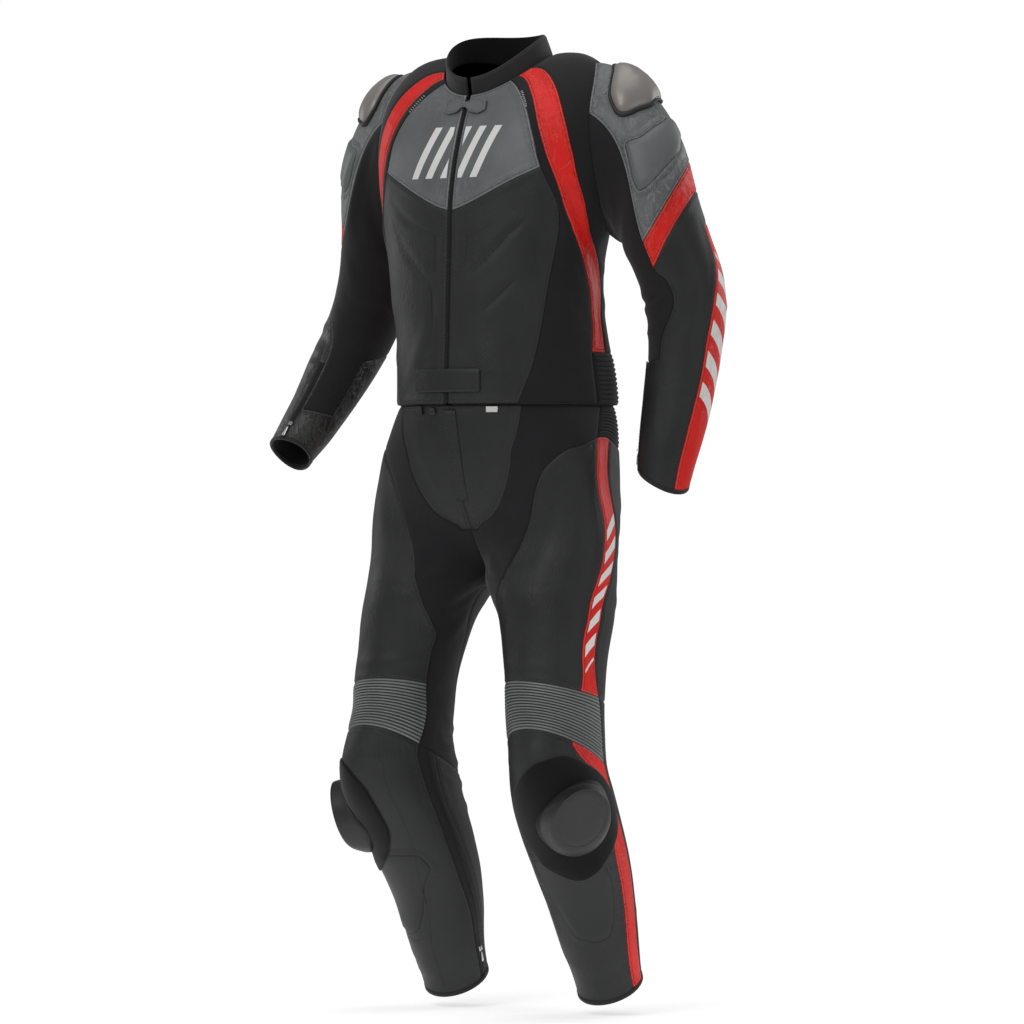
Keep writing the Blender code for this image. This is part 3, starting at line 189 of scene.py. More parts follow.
ARMHOLE_FRONT, ARMHOLE_BACK = 24, 36
SLEEVE_COLUMNS = (0, 4, 8, 12, 14, 16)
SLEEVE_SEAMS = table(
    "z     stripe  front  inside  back  stripe_back",
    (-0.63, 32, 98, 180, 262, 322),
    (-0.54, 31, 98, 180, 258, 318),
    (-0.47, 25, 100, 178, 252, 312),
    (-0.40, 20, 96, 176, 246, 304),
    (-0.36, 12, 76, 174, 240, 300),
    (-0.31, -10, 78, 176, 232, 296),
    (-0.28, -14, 88, 178, 228, 298),
    (-0.20, -14, 88, 180, 228, 300),
)
RIGHT_ARM_TURN = table(
    "z     front",
    (-0.50, 0), (-0.43, 0), (-0.38, 6), (-0.345, 22), (-0.31, 42), (-0.28, 50), (-0.23, 34), (-0.19, 10),
    (-0.15, 0),
)
SLEEVE_ROWS = (6, 7, 10, 12, 17)       # band top, band bottom, elbow, stretch end, cuff
SLEEVE_LINES = {
    "left": ((-0.2177, -0.2614, -0.3450, -0.4400, -0.6210), (0.056, 0.061, 0.012, 0.004, -0.020),
             (-0.051, -0.043, -0.006, 0.000, -0.006)),
    "right": ((-0.2300, -0.2820, -0.3450, -0.4300, -0.5800), (0.062, 0.058, 0.012, 0.004, 0.005),
              (-0.050, -0.043, -0.006, -0.010, 0.023)),
}
SLEEVE_TOP_OUT, SLEEVE_PIT_OUT = np.array((1.0, 0.10, -0.12)), np.array((0.50, 0.25, -0.75))
LEG_COLUMNS = (0, 3, 6, 12, 13, 16, 19)
LEG_SEAMS = table(
    "z       inseam yoke   thigh  stripe outer  seat",
    (-1.405, -0.12, -0.055, 0.012, 0.467, 0.577, 0.77),
    (-1.350, -0.12, -0.050, 0.010, 0.467, 0.560, 0.77),
    (-1.300, -0.12, -0.045, 0.020, 0.472, 0.552, 0.77),
    (-1.240, -0.12, -0.032, 0.040, 0.470, 0.555, 0.77),
    (-1.180, -0.12, -0.026, 0.036, 0.460, 0.545, 0.77),
    (-1.120, -0.12, -0.024, 0.022, 0.476, 0.530, 0.77),
    (-1.060, -0.12, -0.025, 0.026, 0.454, 0.530, 0.77),
    (-1.025, -0.12, -0.022, 0.038, 0.395, 0.530, 0.77),
    (-0.995, -0.12, -0.020, 0.034, 0.372, 0.528, 0.77),
    (-0.955, -0.11, -0.020, 0.045, 0.398, 0.510, 0.77),
    (-0.930, -0.10, -0.018, 0.052, 0.418, 0.488, 0.77),
    (-0.880, -0.07, 0.000, 0.066, 0.416, 0.468, 0.77),
    (-0.850, -0.05, 0.015, 0.074, 0.420, 0.472, 0.76),
    (-0.830, -0.03, 0.030, 0.108, 0.430, 0.480, 0.76),
    (-0.806, -0.01, 0.045, 0.150, 0.441, 0.490, 0.75),
    (-0.7725, 0.00, 0.055, 0.186, 0.464, 0.522, 0.74),
    (-0.714, 0.00, 0.024, 0.181, 0.511, 0.577, 0.72),
    (-0.696, 0.00, 0.020, 0.183, 0.518, 0.582, 0.72),
    (-0.674, 0.00, 0.072, 0.190, 0.519, 0.580, 0.72),
    (-0.636, 0.00, 0.118, 0.212, 0.508, 0.563, 0.72),
    (-0.602, 0.00, 0.145, 0.258, 0.494, 0.546, 0.72),
    (-0.577, 0.00, 0.158, 0.335, 0.482, 0.542, 0.72),
    (-0.556, 0.00, 0.178, 0.440, 0.474, 0.542, 0.72),
    (-0.509, 0.00, 0.215, 0.450, 0.480, 0.550, 0.72),
)
LEG_ROWS = (0, 2, 5, 8, 12, 14, 18, 22)    # waist, hip, yoke's point, crotch, knee, knee end, below, foot
LEG_LINES = ((WAIST_Z, -0.5740, -0.6960, CROTCH_Z, -0.9400, -1.0345, -1.2100, -1.3890),
             (0, 0, 0, 0, -0.019, -0.0425, 0.010, 0.026),       # back
             (0, 0, 0, 0, -0.006, -0.0035, 0, 0),               # outside
             (0, 0.018, 0, 0, 0, 0, 0, 0))                      # arch
ARCH_SHARE, ARCH_WIDTH = 0.50, 0.09
# How the shoulder leaves the armpit level and reaches the neck, at the front, side and back.
SHOULDER_LEAVE = np.array(((0, -0.003, 0.075), (0.060, 0.025, 0.190), (0, 0.015, 0.110)))
SHOULDER_REACH = np.array(((0, -0.027, -0.054), (0.112, 0.022, 0.030), (0, 0.045, -0.024)))


# The suit's surfaces, each a function of arrays of rows and columns ------------------------------
def stacked(*parts):
    return np.stack(np.broadcast_arrays(*[np.asarray(p, float) for p in parts]), -1)


def round_power(value, power):
    return np.sign(value) * np.abs(value) ** power


def level_section(curves, z, turn):
    """Points of a level body section; turn is 0 at the front, pi at the back, through +X."""
    power = 2 / HIP_ROUND
    side = read(curves, "side", z)
    ahead = round_power(np.cos(turn), power)
    end = np.where(ahead > 0, read(curves, "front", z), read(curves, "back", z))
    return stacked(read(curves, "half", z) * round_power(np.sin(turn), power),
                   side + (end - side) * np.abs(ahead), z)


def neck_point(turn, spread=1.0):
    """Points of the collar's base."""
    return stacked(spread * NECK_HALF * np.sin(turn), -spread * NECK_DEEP * np.cos(turn),
                   NECK_MIDDLE_Z - NECK_RISE * np.cos(turn) + NECK_SIDE * np.sin(turn) ** 2)


ARMPIT_SOFT, ARMPIT_NEAR = 0.075, 0.22       # how softly, and how near the armpits, the body bends
BLENDING = ((-1.8, 0.1), (-0.9, 0.23), (0, 0.34), (0.9, 0.23), (1.8, 0.1))     # step, weight


def body_surface(height, turn):
    """The jacket's body: height 0 at the hem, 1 at the armpits, 2 at the neck."""
    reach = ARMPIT_SOFT * np.exp(-((np.asarray(height, float) - 1) / ARMPIT_NEAR) ** 2)
    total = 0
    for step, weight in BLENDING:
        total = total + weight * sharp_body_surface(height + step * reach, turn)
    return total


def sharp_body_surface(height, turn):
    """The jacket's body, level sections below the armpits and curves over the shoulders."""
    height, turn = np.broadcast_arrays(np.asarray(height, float), np.asarray(turn, float))
    low = level_section(BODY, HEM_Z + np.minimum(height, 1) * (ARMPIT_Z - HEM_Z), turn)
    ahead, aside = np.cos(turn), np.sin(turn)
    share = stacked(np.maximum(ahead, 0) ** 2, aside ** 2, np.maximum(-ahead, 0) ** 2)
    scale = stacked(aside, 1, 1)
    start, end = level_section(BODY, ARMPIT_Z, turn), neck_point(turn)
    leave = start + share @ SHOULDER_LEAVE * scale
    reach = end + share @ SHOULDER_REACH * scale
    f = np.maximum(height - 1, 0)[..., None]
    high = ((1 - f) ** 3 * start + 3 * f * (1 - f) ** 2 * leave
            + 3 * f * f * (1 - f) * reach + f ** 3 * end)
    corner = CHEST_CORNER * np.maximum(np.sin(2 * turn), 0) ** 1.5
    high = high + corner[..., None] * np.sin(math.pi * f) ** 2 * np.array((0.7, -0.7, 0.1))
    return np.where(height[..., None] <= 1, low, high)


def tube_section(curves, z, turn, twist=0.0):
    """Points of a level sleeve or leg section; turn is 0 outside, pi/2 at the front."""
    x, y = read(curves, "half", z) * np.cos(turn), -read(curves, "deep", z) * np.sin(turn)
    c, s = np.cos(twist), np.sin(twist)
    return stacked(read(curves, "x", z) + c * x - s * y, read(curves, "y", z) + s * x + c * y, z)


def zip_edge(height):
    """Degrees at which the body is half the zip's gap from the middle."""
    turn = np.full(np.shape(height), ZIP_HALF / NECK_HALF)
    for _ in range(8):
        turn = turn * ZIP_HALF / body_surface(height, turn)[..., 0]
    return np.degrees(turn)


def body_turn(row, column, behind):
    """Height number and angle of places on the jacket's body; behind is the armhole's back edge."""
    chest = between((0, BODY_COLUMNS[2]), CHEST_SEAM, column)
    chest = chest + CHEST_STRAIGHT * np.sin(math.pi * np.clip(column / BODY_COLUMNS[1], 0, 1))
    height = between(BODY_ROWS, (0, LUMBAR_TOP, 1, chest, ARMHOLE_TOP, 2), row)
    seams = [read(BODY_SEAMS, name, height) for name in ("front", "stripe", "flank", "arm", "back")]
    open_ = np.clip((height - 1) / (ARMHOLE_TOP - 1), 0, 1)
    reach = ARMHOLE_BACK if behind else -ARMHOLE_FRONT
    arm = seams[3] + reach * np.maximum(np.sin(math.pi * open_), 0) ** 0.75
    degrees = between(BODY_COLUMNS, (zip_edge(height), *seams[:3], arm, seams[4], 180), column)
    return height, np.radians(degrees)


def body_front(row, column):
    return body_surface(*body_turn(row, column, False))


def body_back(row, column):
    return body_surface(*body_turn(row, column, True))


def armhole(column):
    """The armhole's edge where a sleeve's column starts: front edge down, back edge up."""
    half = SLEEVE_COLUMNS[-1] / 2
    front = body_front(BODY_ROWS[4] - column, np.full(np.shape(column), BODY_COLUMNS[4]))
    back = body_back(BODY_ROWS[2] + column - half, np.full(np.shape(column), BODY_COLUMNS[4]))
    return np.where((np.asarray(column) <= half)[..., None], front, back)


def sleeve_tube(which, row, column):
    z, outside, front = (between(SLEEVE_ROWS, line, row) for line in SLEEVE_LINES[which])
    seams = [read(SLEEVE_SEAMS, name, z)
             for name in ("stripe", "front", "inside", "back", "stripe_back")]
    if which == "right":
        seams[1] = seams[1] - read(RIGHT_ARM_TURN, "front", z)
    turn = np.radians(between(SLEEVE_COLUMNS, (*seams, seams[0] + 360), column))
    return tube_section(SLEEVE[which], z + outside * np.cos(turn) + front * np.sin(turn), turn)


def sleeve_surface(which):
    """A sleeve from the armhole to the cuff; its first rows blend from the body into the arm."""
    def surface(row, column):
        row, column = np.broadcast_arrays(np.asarray(row, float), np.asarray(column, float))
        column = np.mod(column, SLEEVE_COLUMNS[-1])
        blend = SLEEVE_ROWS[0]
        below = sleeve_tube(which, np.full(column.shape, float(blend)), column)
        end_way = sleeve_tube(which, np.full(column.shape, blend + 0.5), column) - below
        ring = armhole(column)
        high = (0.5 + 0.5 * np.cos(2 * math.pi * column / SLEEVE_COLUMNS[-1]))[..., None]
        reach = np.linalg.norm(below - ring, axis=-1, keepdims=True)
        start_way = 1.1 * reach * unit(high * SLEEVE_TOP_OUT + (1 - high) * SLEEVE_PIT_OUT)
        end_way = 0.9 * reach * unit(end_way)
        f = np.clip(row / blend, 0, 1)[..., None]
        top = ((1 + 2 * f) * (1 - f) ** 2 * ring + f * (1 - f) ** 2 * start_way
               + f * f * (3 - 2 * f) * below - f * f * (1 - f) * end_way)
        return np.where(row[..., None] < blend, top, sleeve_tube(which, np.maximum(row, blend), column))
    return surface


def leg_share(z, column):
    """Share of the way round a leg of a grid column at a height."""
    seams = [read(LEG_SEAMS, name, z)
             for name in ("inseam", "yoke", "thigh", "stripe", "outer", "seat")]
    seams[0] = np.where(z < CROTCH_Z, np.minimum(seams[0], 0), 0)
    return between(LEG_COLUMNS, (*seams, seams[0] + 1), column)


CROTCH_SOFT, CROTCH_NEAR = 0.022, 0.09        # how softly, and how near the crotch, sections blend


def leg_level(z, share):
    """The trousers' left half, its sections blended into one another near the crotch."""
    z, share = np.broadcast_arrays(np.asarray(z, float), np.asarray(share, float))
    reach = (CROTCH_SOFT * np.clip(np.minimum(share, 1 - share) / 0.08, 0, 1)
             * np.exp(-((z - CROTCH_Z) / CROTCH_NEAR) ** 2))
    total = 0
    for step, weight in BLENDING:
        total = total + weight * sharp_leg_level(z + step * reach, share)
    total[..., 2] = z
    return total


def sharp_leg_level(z, share):
    """The trousers' left half: an arc from front to back above the crotch, a loop below it."""
    z, share = np.broadcast_arrays(np.asarray(z, float), np.asarray(share, float))
    low = np.minimum(z, CROTCH_Z)
    tube = tube_section(LEG, low, math.pi * (1 - 2 * share), np.radians(read(LEG, "turn", low)))
    tube[..., 2] = z
    f = np.clip((z - HIP_END) / (CROTCH_Z - HIP_END), 0, 1)[..., None] ** 3
    point = level_section(HIPS, z, math.pi * share) * (1 - f) + tube * f
    point[..., 0] = np.where((share <= 0) | (share >= 1), 0, point[..., 0])
    return np.where(z[..., None] <= CROTCH_Z, tube, point)


def leg_surface(row, column):
    middle, back, outside, arch = (between(LEG_ROWS, line, row) for line in LEG_LINES)
    z = middle
    for _ in range(3):
        share = leg_share(z, column)
        turn = math.pi * (1 - 2 * share)
        z = (middle + outside * np.cos(turn) - back * np.sin(turn)
             + arch * np.exp(-((share - ARCH_SHARE) / ARCH_WIDTH) ** 2))
    return leg_level(z, leg_share(z, column))


# Folds ------------------------------------------------------------------------------------------
# Each fold: width and depth in millimetres, then the row and column of its start, middle and end.
# A positive depth is a ridge between two troughs, a negative one a trough between two ridges.
BODY_FOLDS = (
    (5, 1.1, (12.3, 7.1), (12.0, 7.5), (11.7, 7.9)), (5, 0.9, (11.3, 7.2), (11.2, 7.5), (11.1, 7.9)),
    (6, 1.3, (9.6, 7.05), (9.1, 7.4), (8.3, 7.95)), (5, 0.8, (13.7, 7.1), (13.5, 7.5), (13.2, 7.8)),
    (12, 2.0, (7.6, 4.6), (6.2, 5.6), (5.4, 6.7)), (10, 1.5, (6.6, 4.4), (5.3, 5.2), (4.4, 6.2)),
    (14, 1.8, (4.2, 4.6), (3.2, 5.4), (2.6, 6.6)), (9, 1.3, (2.3, 4.3), (1.7, 5.2), (1.4, 6.4)),
    (9, 2.2, (7.4, 8.2), (6.5, 8.9), (6.1, 9.8)), (8, -1.6, (8.4, 8.2), (7.4, 8.8), (6.9, 9.5)),
    (10, 1.8, (5.3, 8.2), (4.9, 9.4), (5.0, 11.2)), (12, 1.6, (4.0, 8.4), (3.7, 10.0), (4.1, 12.2)),
    (14, 2.2, (9.5, 13.4), (8.2, 14.4), (7.8, 15.8)), (12, 1.8, (7.0, 13.3), (6.2, 14.2), (6.0, 15.6)),
    (16, -1.8, (12.5, 14.0), (12.1, 15.0), (12.3, 15.9)), (10, 1.5, (4.6, 13.3), (4.0, 14.5), (4.2, 15.9)),
    (12, 2.0, (3.0, 13.2), (2.6, 14.6), (2.8, 15.9)), (16, 1.1, (3.0, 1.0), (1.6, 2.0), (0.6, 3.2)),
    (12, 0.9, (8.6, 3.6), (7.4, 3.3), (6.6, 3.7)),
)
LEG_FOLDS = (
    (10, 2.4, (6.4, 3.4), (7.2, 4.4), (7.8, 5.6)), (9, 2.0, (7.6, 1.2), (8.1, 3.0), (8.4, 5.0)),
    (8, -1.6, (8.3, 0.8), (8.8, 2.6), (9.2, 4.6)), (10, 1.8, (9.0, 0.4), (9.6, 2.2), (10.2, 4.2)),
    (12, 1.6, (5.6, 3.6), (6.1, 5.0), (6.3, 6.4)), (18, 1.7, (3.4, 8.6), (6.0, 8.0), (9.0, 8.8)),
    (14, -1.4, (4.0, 10.6), (6.4, 10.2), (8.8, 10.8)), (12, 1.5, (8.6, 6.8), (10.0, 7.6), (11.4, 7.2)),
    (10, 1.2, (9.6, 10.0), (10.8, 10.6), (11.8, 10.4)), (9, 1.4, (11.2, 6.6), (11.4, 8.6), (11.3, 10.8)),
    (8, 1.6, (14.5, 6.6), (14.8, 8.2), (14.4, 10.2)), (6, 2.3, (12.6, 16.2), (12.8, 17.6), (12.7, 18.9)),
    (6, -1.8, (13.0, 16.1), (13.2, 17.5), (13.1, 18.9)), (6, 2.5, (13.5, 16.2), (13.6, 17.6), (13.5, 18.9)),
    (6, 1.9, (12.7, 0.1), (12.9, 1.2), (12.7, 2.6)), (6, 2.2, (13.5, 0.1), (13.65, 1.3), (13.5, 2.8)),
    (6, 1.7, (14.4, 0.3), (14.6, 1.4), (14.5, 2.6)), (6, 1.7, (14.3, 16.3), (14.6, 17.6), (14.4, 18.8)),
    (7, 1.5, (15.2, 16.4), (15.5, 17.5), (15.3, 18.7)), (12, 1.3, (20.4, 7.0), (20.9, 9.0), (20.6, 11.4)),
    (10, 1.2, (21.2, 8.0), (21.4, 10.0), (21.3, 11.8)), (12, 1.4, (17.0, 14.0), (18.6, 14.6), (20.4, 14.2)),
    (9, 1.3, (19.4, 13.4), (20.0, 15.0), (20.2, 17.0)), (12, 2.2, (6.4, 14.2), (7.2, 16.2), (7.6, 18.4)),
    (10, 1.8, (8.4, 13.6), (9.0, 14.8), (9.4, 15.8)), (14, 1.6, (3.6, 14.6), (4.6, 16.6), (4.8, 18.6)),
    (10, -1.4, (5.4, 14.0), (6.0, 15.6), (6.2, 17.4)), (8, 1.0, (1.0, 1.6), (2.2, 1.9), (3.6, 1.4)),
)


def moved(folds, step, turn, more):
    """The same folds, each set a little elsewhere."""
    made = []
    for k, (width, deep, *way) in enumerate(folds):
        sway = math.sin(2.4 * k + 1)
        made.append((width * (1 + 0.12 * sway), deep * more * (1 - 0.2 * sway),
                     *((r + step * sway, c + turn * math.cos(1.7 * k)) for r, c in way)))
    return tuple(made)


FOLDS = {
    "body_left": BODY_FOLDS + (
        (6, -2.4, (6.75, 2.6), (5.7, 1.7), (4.7, 0.75)), (6, -2.2, (4.5, 2.5), (3.9, 1.85), (3.35, 1.25)),
        (5, -0.9, (1.17, 1.83), (1.0, 2.1), (0.75, 2.5))),
    "body_right": moved(BODY_FOLDS, 0.12, 0.08, 1.1) + (
        (6, -2.4, (7.8, 3.0), (7.0, 1.7), (6.3, 0.5)), (6, -2.2, (6.2, 0.42), (5.5, 0.42), (4.8, 0.42)),
        (6, -2.4, (6.0, 2.33), (5.2, 1.5), (4.35, 0.67)), (6, -2.0, (4.25, 0.62), (3.6, 0.58), (2.9, 0.58)),
        (5, -0.9, (1.33, 1.5), (1.55, 1.1), (1.58, 0.2))),
    "sleeve_left": (
        (7, 1.8, (8.6, 4.6), (8.9, 6.6), (8.5, 9.0)), (6, -1.4, (9.2, 4.3), (9.6, 6.2), (9.4, 8.8)),
        (8, 2.2, (9.9, 4.2), (10.2, 6.4), (10.0, 9.6)), (6, 1.6, (10.8, 4.4), (11.0, 6.6), (10.7, 8.6)),
        (7, 1.5, (7.4, 5.0), (7.7, 7.2), (7.2, 9.8)), (5, 1.0, (3.0, 3.72), (3.8, 3.87), (4.6, 3.82)),
        (5, 1.3, (2.2, 1.8), (2.6, 1.0), (3.1, 0.2)), (5, 0.9, (1.6, 3.3), (2.1, 3.1), (2.5, 2.6)),
        (5, 0.9, (0.5, 3.0), (0.8, 3.4), (1.2, 3.7)), (5, 0.8, (0.9, 2.9), (1.2, 3.2), (1.6, 3.5)),
        (5, 1.2, (4.95, 2.4), (5.2, 1.4), (5.4, 0.3)), (5, 0.9, (5.2, 2.9), (5.4, 2.3), (5.5, 1.6)),
        (12, 1.6, (9.4, 1.0), (11.0, 1.6), (12.6, 1.4)), (10, 1.3, (8.2, 2.8), (9.6, 3.2), (11.0, 3.0)),
        (9, -1.3, (12.8, 2.6), (14.0, 2.9), (15.4, 2.7)), (8, 1.7, (9.0, 14.4), (9.3, 13.2), (9.2, 12.3)),
        (7, 1.5, (9.9, 14.2), (10.2, 13.0), (10.0, 12.2)),
        (5, 1.7, (10.4, 14.1), (10.55, 15.0), (10.5, 15.9)),
        (9, 1.3, (13.0, 12.3), (14.2, 13.0), (15.6, 12.6)), (12, 1.5, (4.0, 5.0), (5.2, 6.6), (6.4, 8.4)),
        (10, 1.6, (1.6, 6.0), (2.6, 7.0), (3.2, 8.6)), (9, -1.5, (1.4, 9.4), (2.4, 10.2), (3.0, 11.4))),
    "sleeve_right": (
        (6, 2.0, (10.7, 0.8), (10.95, 2.4), (10.8, 3.9)), (6, 1.8, (11.4, 0.9), (11.6, 2.4), (11.5, 4.0)),
        (5, -1.4, (11.05, 1.2), (11.25, 2.6), (11.15, 3.8)), (6, 1.6, (12.0, 1.4), (12.15, 2.6), (12.0, 3.3)),
        (10, 2.2, (9.2, 4.8), (9.9, 6.6), (10.5, 8.2)), (8, -1.7, (10.1, 4.4), (10.6, 6.0), (11.2, 7.4)),
        (9, 2.0, (8.0, 5.4), (8.6, 7.4), (9.4, 9.4)), (8, 1.6, (11.3, 4.6), (11.7, 5.8), (11.9, 6.9)),
        (12, 1.7, (6.4, 4.6), (7.2, 6.4), (7.9, 8.2)), (5, 1.9, (12.4, 7.6), (12.7, 8.4), (12.9, 9.6)),
        (5, 1.5, (13.1, 7.3), (13.4, 8.2), (13.5, 9.4)), (5, 2.0, (13.8, 7.4), (14.0, 8.4), (14.3, 9.8)),
        (5, 1.4, (14.5, 7.2), (14.8, 8.0), (14.9, 9.2)), (5, 1.8, (15.3, 7.2), (15.5, 8.3), (15.9, 9.5)),
        (5, 1.3, (16.1, 7.4), (16.3, 8.2), (16.4, 9.2)), (5, 1.5, (16.4, 5.4), (16.5, 6.4), (16.3, 7.2)),
        (6, 1.6, (2.0, 3.6), (3.4, 3.2), (4.8, 3.3)), (5, 1.3, (3.0, 2.6), (4.2, 2.9), (5.4, 2.5)),
        (9, 1.5, (8.4, 1.4), (9.2, 2.2), (10.0, 1.8)), (8, 1.5, (9.4, 13.8), (9.8, 12.9), (10.6, 12.3)),
        (10, 1.6, (1.6, 6.0), (2.6, 7.0), (3.2, 8.6)), (12, 1.5, (3.6, 5.0), (4.8, 6.2), (5.8, 7.8))),
    "leg_left": LEG_FOLDS,
    "leg_right": moved(LEG_FOLDS, 0.15, 0.12, 1.1) + (
        (7, 2.4, (12.0, 12.2), (12.3, 11.0), (12.6, 9.6)),),
}
STATIONS = 9               # points along a fold


def fold_lift(points, surface, side, folds):
    """How far the folds move each point out."""
    total = np.zeros(len(points))
    for width, deep, *way in folds:
        rows, columns = np.array(way, float).T
        t = np.linspace(0, 1, STATIONS)
        first, last = (1 - t) * (1 - 2 * t), t * (2 * t - 1)
        middle = 4 * t * (1 - t)
        spots = surface(first * rows[0] + middle * rows[1] + last * rows[2],
                        first * columns[0] + middle * columns[1] + last * columns[2])
        spots = spots * (side, 1, 1)
        near = np.full(len(points), 9.0)
        place = np.zeros(len(points))
        for k in range(STATIONS - 1):
            way_on = spots[k + 1] - spots[k]
            f = np.clip((points - spots[k]) @ way_on / (way_on @ way_on), 0, 1)
            gap = np.linalg.norm(points - spots[k] - f[:, None] * way_on, axis=1)
            place = np.where(gap < near, (k + f) / (STATIONS - 1), place)
            near = np.minimum(near, gap)
        across = near / (width * 0.001 * (0.75 + 0.35 * np.sin(math.pi * place)))
        along = np.sin(math.pi * np.clip(0.06 + 0.88 * place, 0, 1)) ** 0.8
        ends = np.where((place <= 0) | (place >= 1), np.exp(-(across / 0.8) ** 2), 1)
        shape = (1 - 0.55 * across ** 2) * np.exp(-0.75 * across ** 2)
        total += deep * 0.001 * along * shape * ends
    return total


UNEVEN = ((11.0, 0.0011), (27.0, 0.0006), (61.0, 0.00022))     # waves a metre, height


def uneven_lift(points):
    """Slow unevenness of cloth long in use."""
    total = np.zeros(len(points))
    for waves, height in UNEVEN:
        total += height * np.array([noise.noise(Vector((x * waves, y * waves, z * waves * 0.6)))
                                    for x, y, z in points])
    return total


# Lattices ---------------------------------------------------------------------------------------
SIDES = (("left", 1), ("right", -1))
FINE = 7           # steps of a lattice in each cell of rows and columns
NEAR_SEAM = (0.06, 0.16)                # further lines beside each seam, in cells


def lines(first, last, seams, fine=FINE):
    """Where a lattice's lines lie: evenly, and closer together beside the seams."""
    places = set(np.round(np.linspace(first, last, (last - first) * fine + 1), 6))
    for seam in seams:
        for step in NEAR_SEAM:
            places |= {round(seam - step, 6), round(seam + step, 6)}
    return np.array(sorted(p for p in places if first <= p <= last))


def rounded_outline(corners, steps=12, rounds=5):
    """A closed line through corners, its corners rounded."""
    corners = np.array(corners, float)
    f = np.linspace(0, 1, steps, endpoint=False)[None, :, None]
    line = (corners[:, None] * (1 - f) + np.roll(corners, -1, axis=0)[:, None] * f).reshape(-1, 2)
    for _ in range(rounds):
        line = 0.5 * line + 0.25 * (np.roll(line, 1, axis=0) + np.roll(line, -1, axis=0))
    return line


def within(row, column, outline):
    """Whether places lie inside a closed line of rows and columns."""
    inside = np.zeros(row.shape, bool)
    for (r0, c0), (r1, c1) in zip(outline, np.roll(outline, -1, axis=0)):
        if r0 != r1:
            crosses = (row < r0) != (row < r1)
            inside ^= crosses & (column < c0 + (row - r0) / (r1 - r0) * (c1 - c0))
    return inside


class Lattice:
    """Fine points of a surface, with its directions and folds, that panels are cut from."""

    def __init__(self, surface, rows, columns, side, outward=1, folds=()):
        self.rows, self.columns, self.flip = rows, columns, side * outward
        row, column = np.meshgrid(rows, columns, indexing="ij")
        self.points = surface(row, column) * (side, 1, 1)
        self.normals = facing(surface, row, column, side, outward)
        flat = self.points.reshape(-1, 3)
        self.lift = (fold_lift(flat, surface, side, folds) + uneven_lift(flat)).reshape(row.shape)
        across = np.linalg.norm(np.diff(self.points, axis=1), axis=2)
        along = np.linalg.norm(np.diff(self.points, axis=0), axis=2)
        self.weave = np.stack((np.pad(np.cumsum(across, 1), ((0, 0), (1, 0))),
                               np.pad(np.cumsum(along, 0), ((1, 0), (0, 0)))), -1)
        self.pad = np.full(row.shape, -1.0)

    def raise_pad(self, surface, corners, height, side):
        """Raise a padded field inside an outline, and note how far each point is inside its edge."""
        outline = rounded_outline(corners)
        spots = surface(outline[:, 0], outline[:, 1]) * (side, 1, 1)
        flat = self.points.reshape(-1, 3)
        near = np.full(len(flat), 9.0)
        for a, b in zip(spots, np.roll(spots, -1, axis=0)):
            way = b - a
            f = np.clip((flat - a) @ way / (way @ way), 0, 1)
            near = np.minimum(near, np.linalg.norm(flat - a - f[:, None] * way, axis=1))
        row, column = np.meshgrid(self.rows, self.columns, indexing="ij")
        inside = within(row, column, outline)
        if outline[:, 1].min() < 0:
            inside |= within(row, column - SLEEVE_COLUMNS[-1], outline)
        signed = near.reshape(row.shape) * np.where(inside, 1, -1)
        self.pad = np.where(np.abs(signed) < np.abs(self.pad), signed, self.pad)
        rise = np.clip((signed + PAD_OUT) / PAD_SLOPE, 0, 1)
        self.lift += height * rise * rise * (3 - 2 * rise)

    def block(self, rows, columns):
        """Indices of the lines from one row to another and from one column to another."""
        i = np.nonzero((self.rows >= rows[0] - 1e-6) & (self.rows <= rows[1] + 1e-6))[0]
        j = np.nonzero((self.columns >= columns[0] - 1e-6) & (self.columns <= columns[1] + 1e-6))[0]
        return i, j


def facing(surface, row, column, side, outward):
    """Outward directions of a surface."""
    step = 0.02
    along = surface(row + step, column) - surface(row - step, column)
    across = surface(row, column + step) - surface(row, column - step)
    return unit(np.cross(across, along) * outward) * (side, 1, 1)


def body_lattices(side, folds):
    rows = lines(BODY_ROWS[0], BODY_ROWS[-1], BODY_ROWS)
    arm = BODY_COLUMNS[4]
    made = (Lattice(body_front, rows, lines(0, arm, BODY_COLUMNS[:5]), side, 1, folds),
            Lattice(body_back, rows, lines(arm, BODY_COLUMNS[-1], BODY_COLUMNS[4:]), side, 1, folds))
    made[1].normals[:, -1, 0] = 0
    return made


def sleeve_lattice(name, side, folds, bodies):
    """A sleeve's lattice, whose directions at the armhole are shared with the body's."""
    fine = lines(0, SLEEVE_COLUMNS[-1], SLEEVE_COLUMNS)
    surface = sleeve_surface(name)
    made = Lattice(surface, lines(0, SLEEVE_ROWS[-1], SLEEVE_ROWS), fine, side, 1, folds)
    made.normals[:, -1] = made.normals[:, 0]
    made.lift[:, -1] = made.lift[:, 0]
    arm, half = BODY_COLUMNS[4], SLEEVE_COLUMNS[-1] / 2

    def shared(columns):
        sleeve = facing(surface, np.full(columns.shape, 0.03), columns, side, 1)
        front = facing(body_front, BODY_ROWS[4] - columns, np.full(columns.shape, arm - 0.03), side, 1)
        back = facing(body_back, BODY_ROWS[2] + columns - half, np.full(columns.shape, arm + 0.03), side, 1)
        return unit(sleeve + np.where((columns <= half)[:, None], front, back))

    made.normals[0] = shared(fine)
    made.lift[0] = 0
    for lattice, edge, columns in ((bodies[0], -1, BODY_ROWS[4] - bodies[0].rows),
                                   (bodies[1], 0, bodies[1].rows - BODY_ROWS[2] + half)):
        ring = (lattice.rows > BODY_ROWS[2] - 1e-6) & (lattice.rows < BODY_ROWS[4] + 1e-6)
        lattice.normals[ring, edge] = shared(columns[ring])
        lattice.lift[ring, edge] = 0
    return made


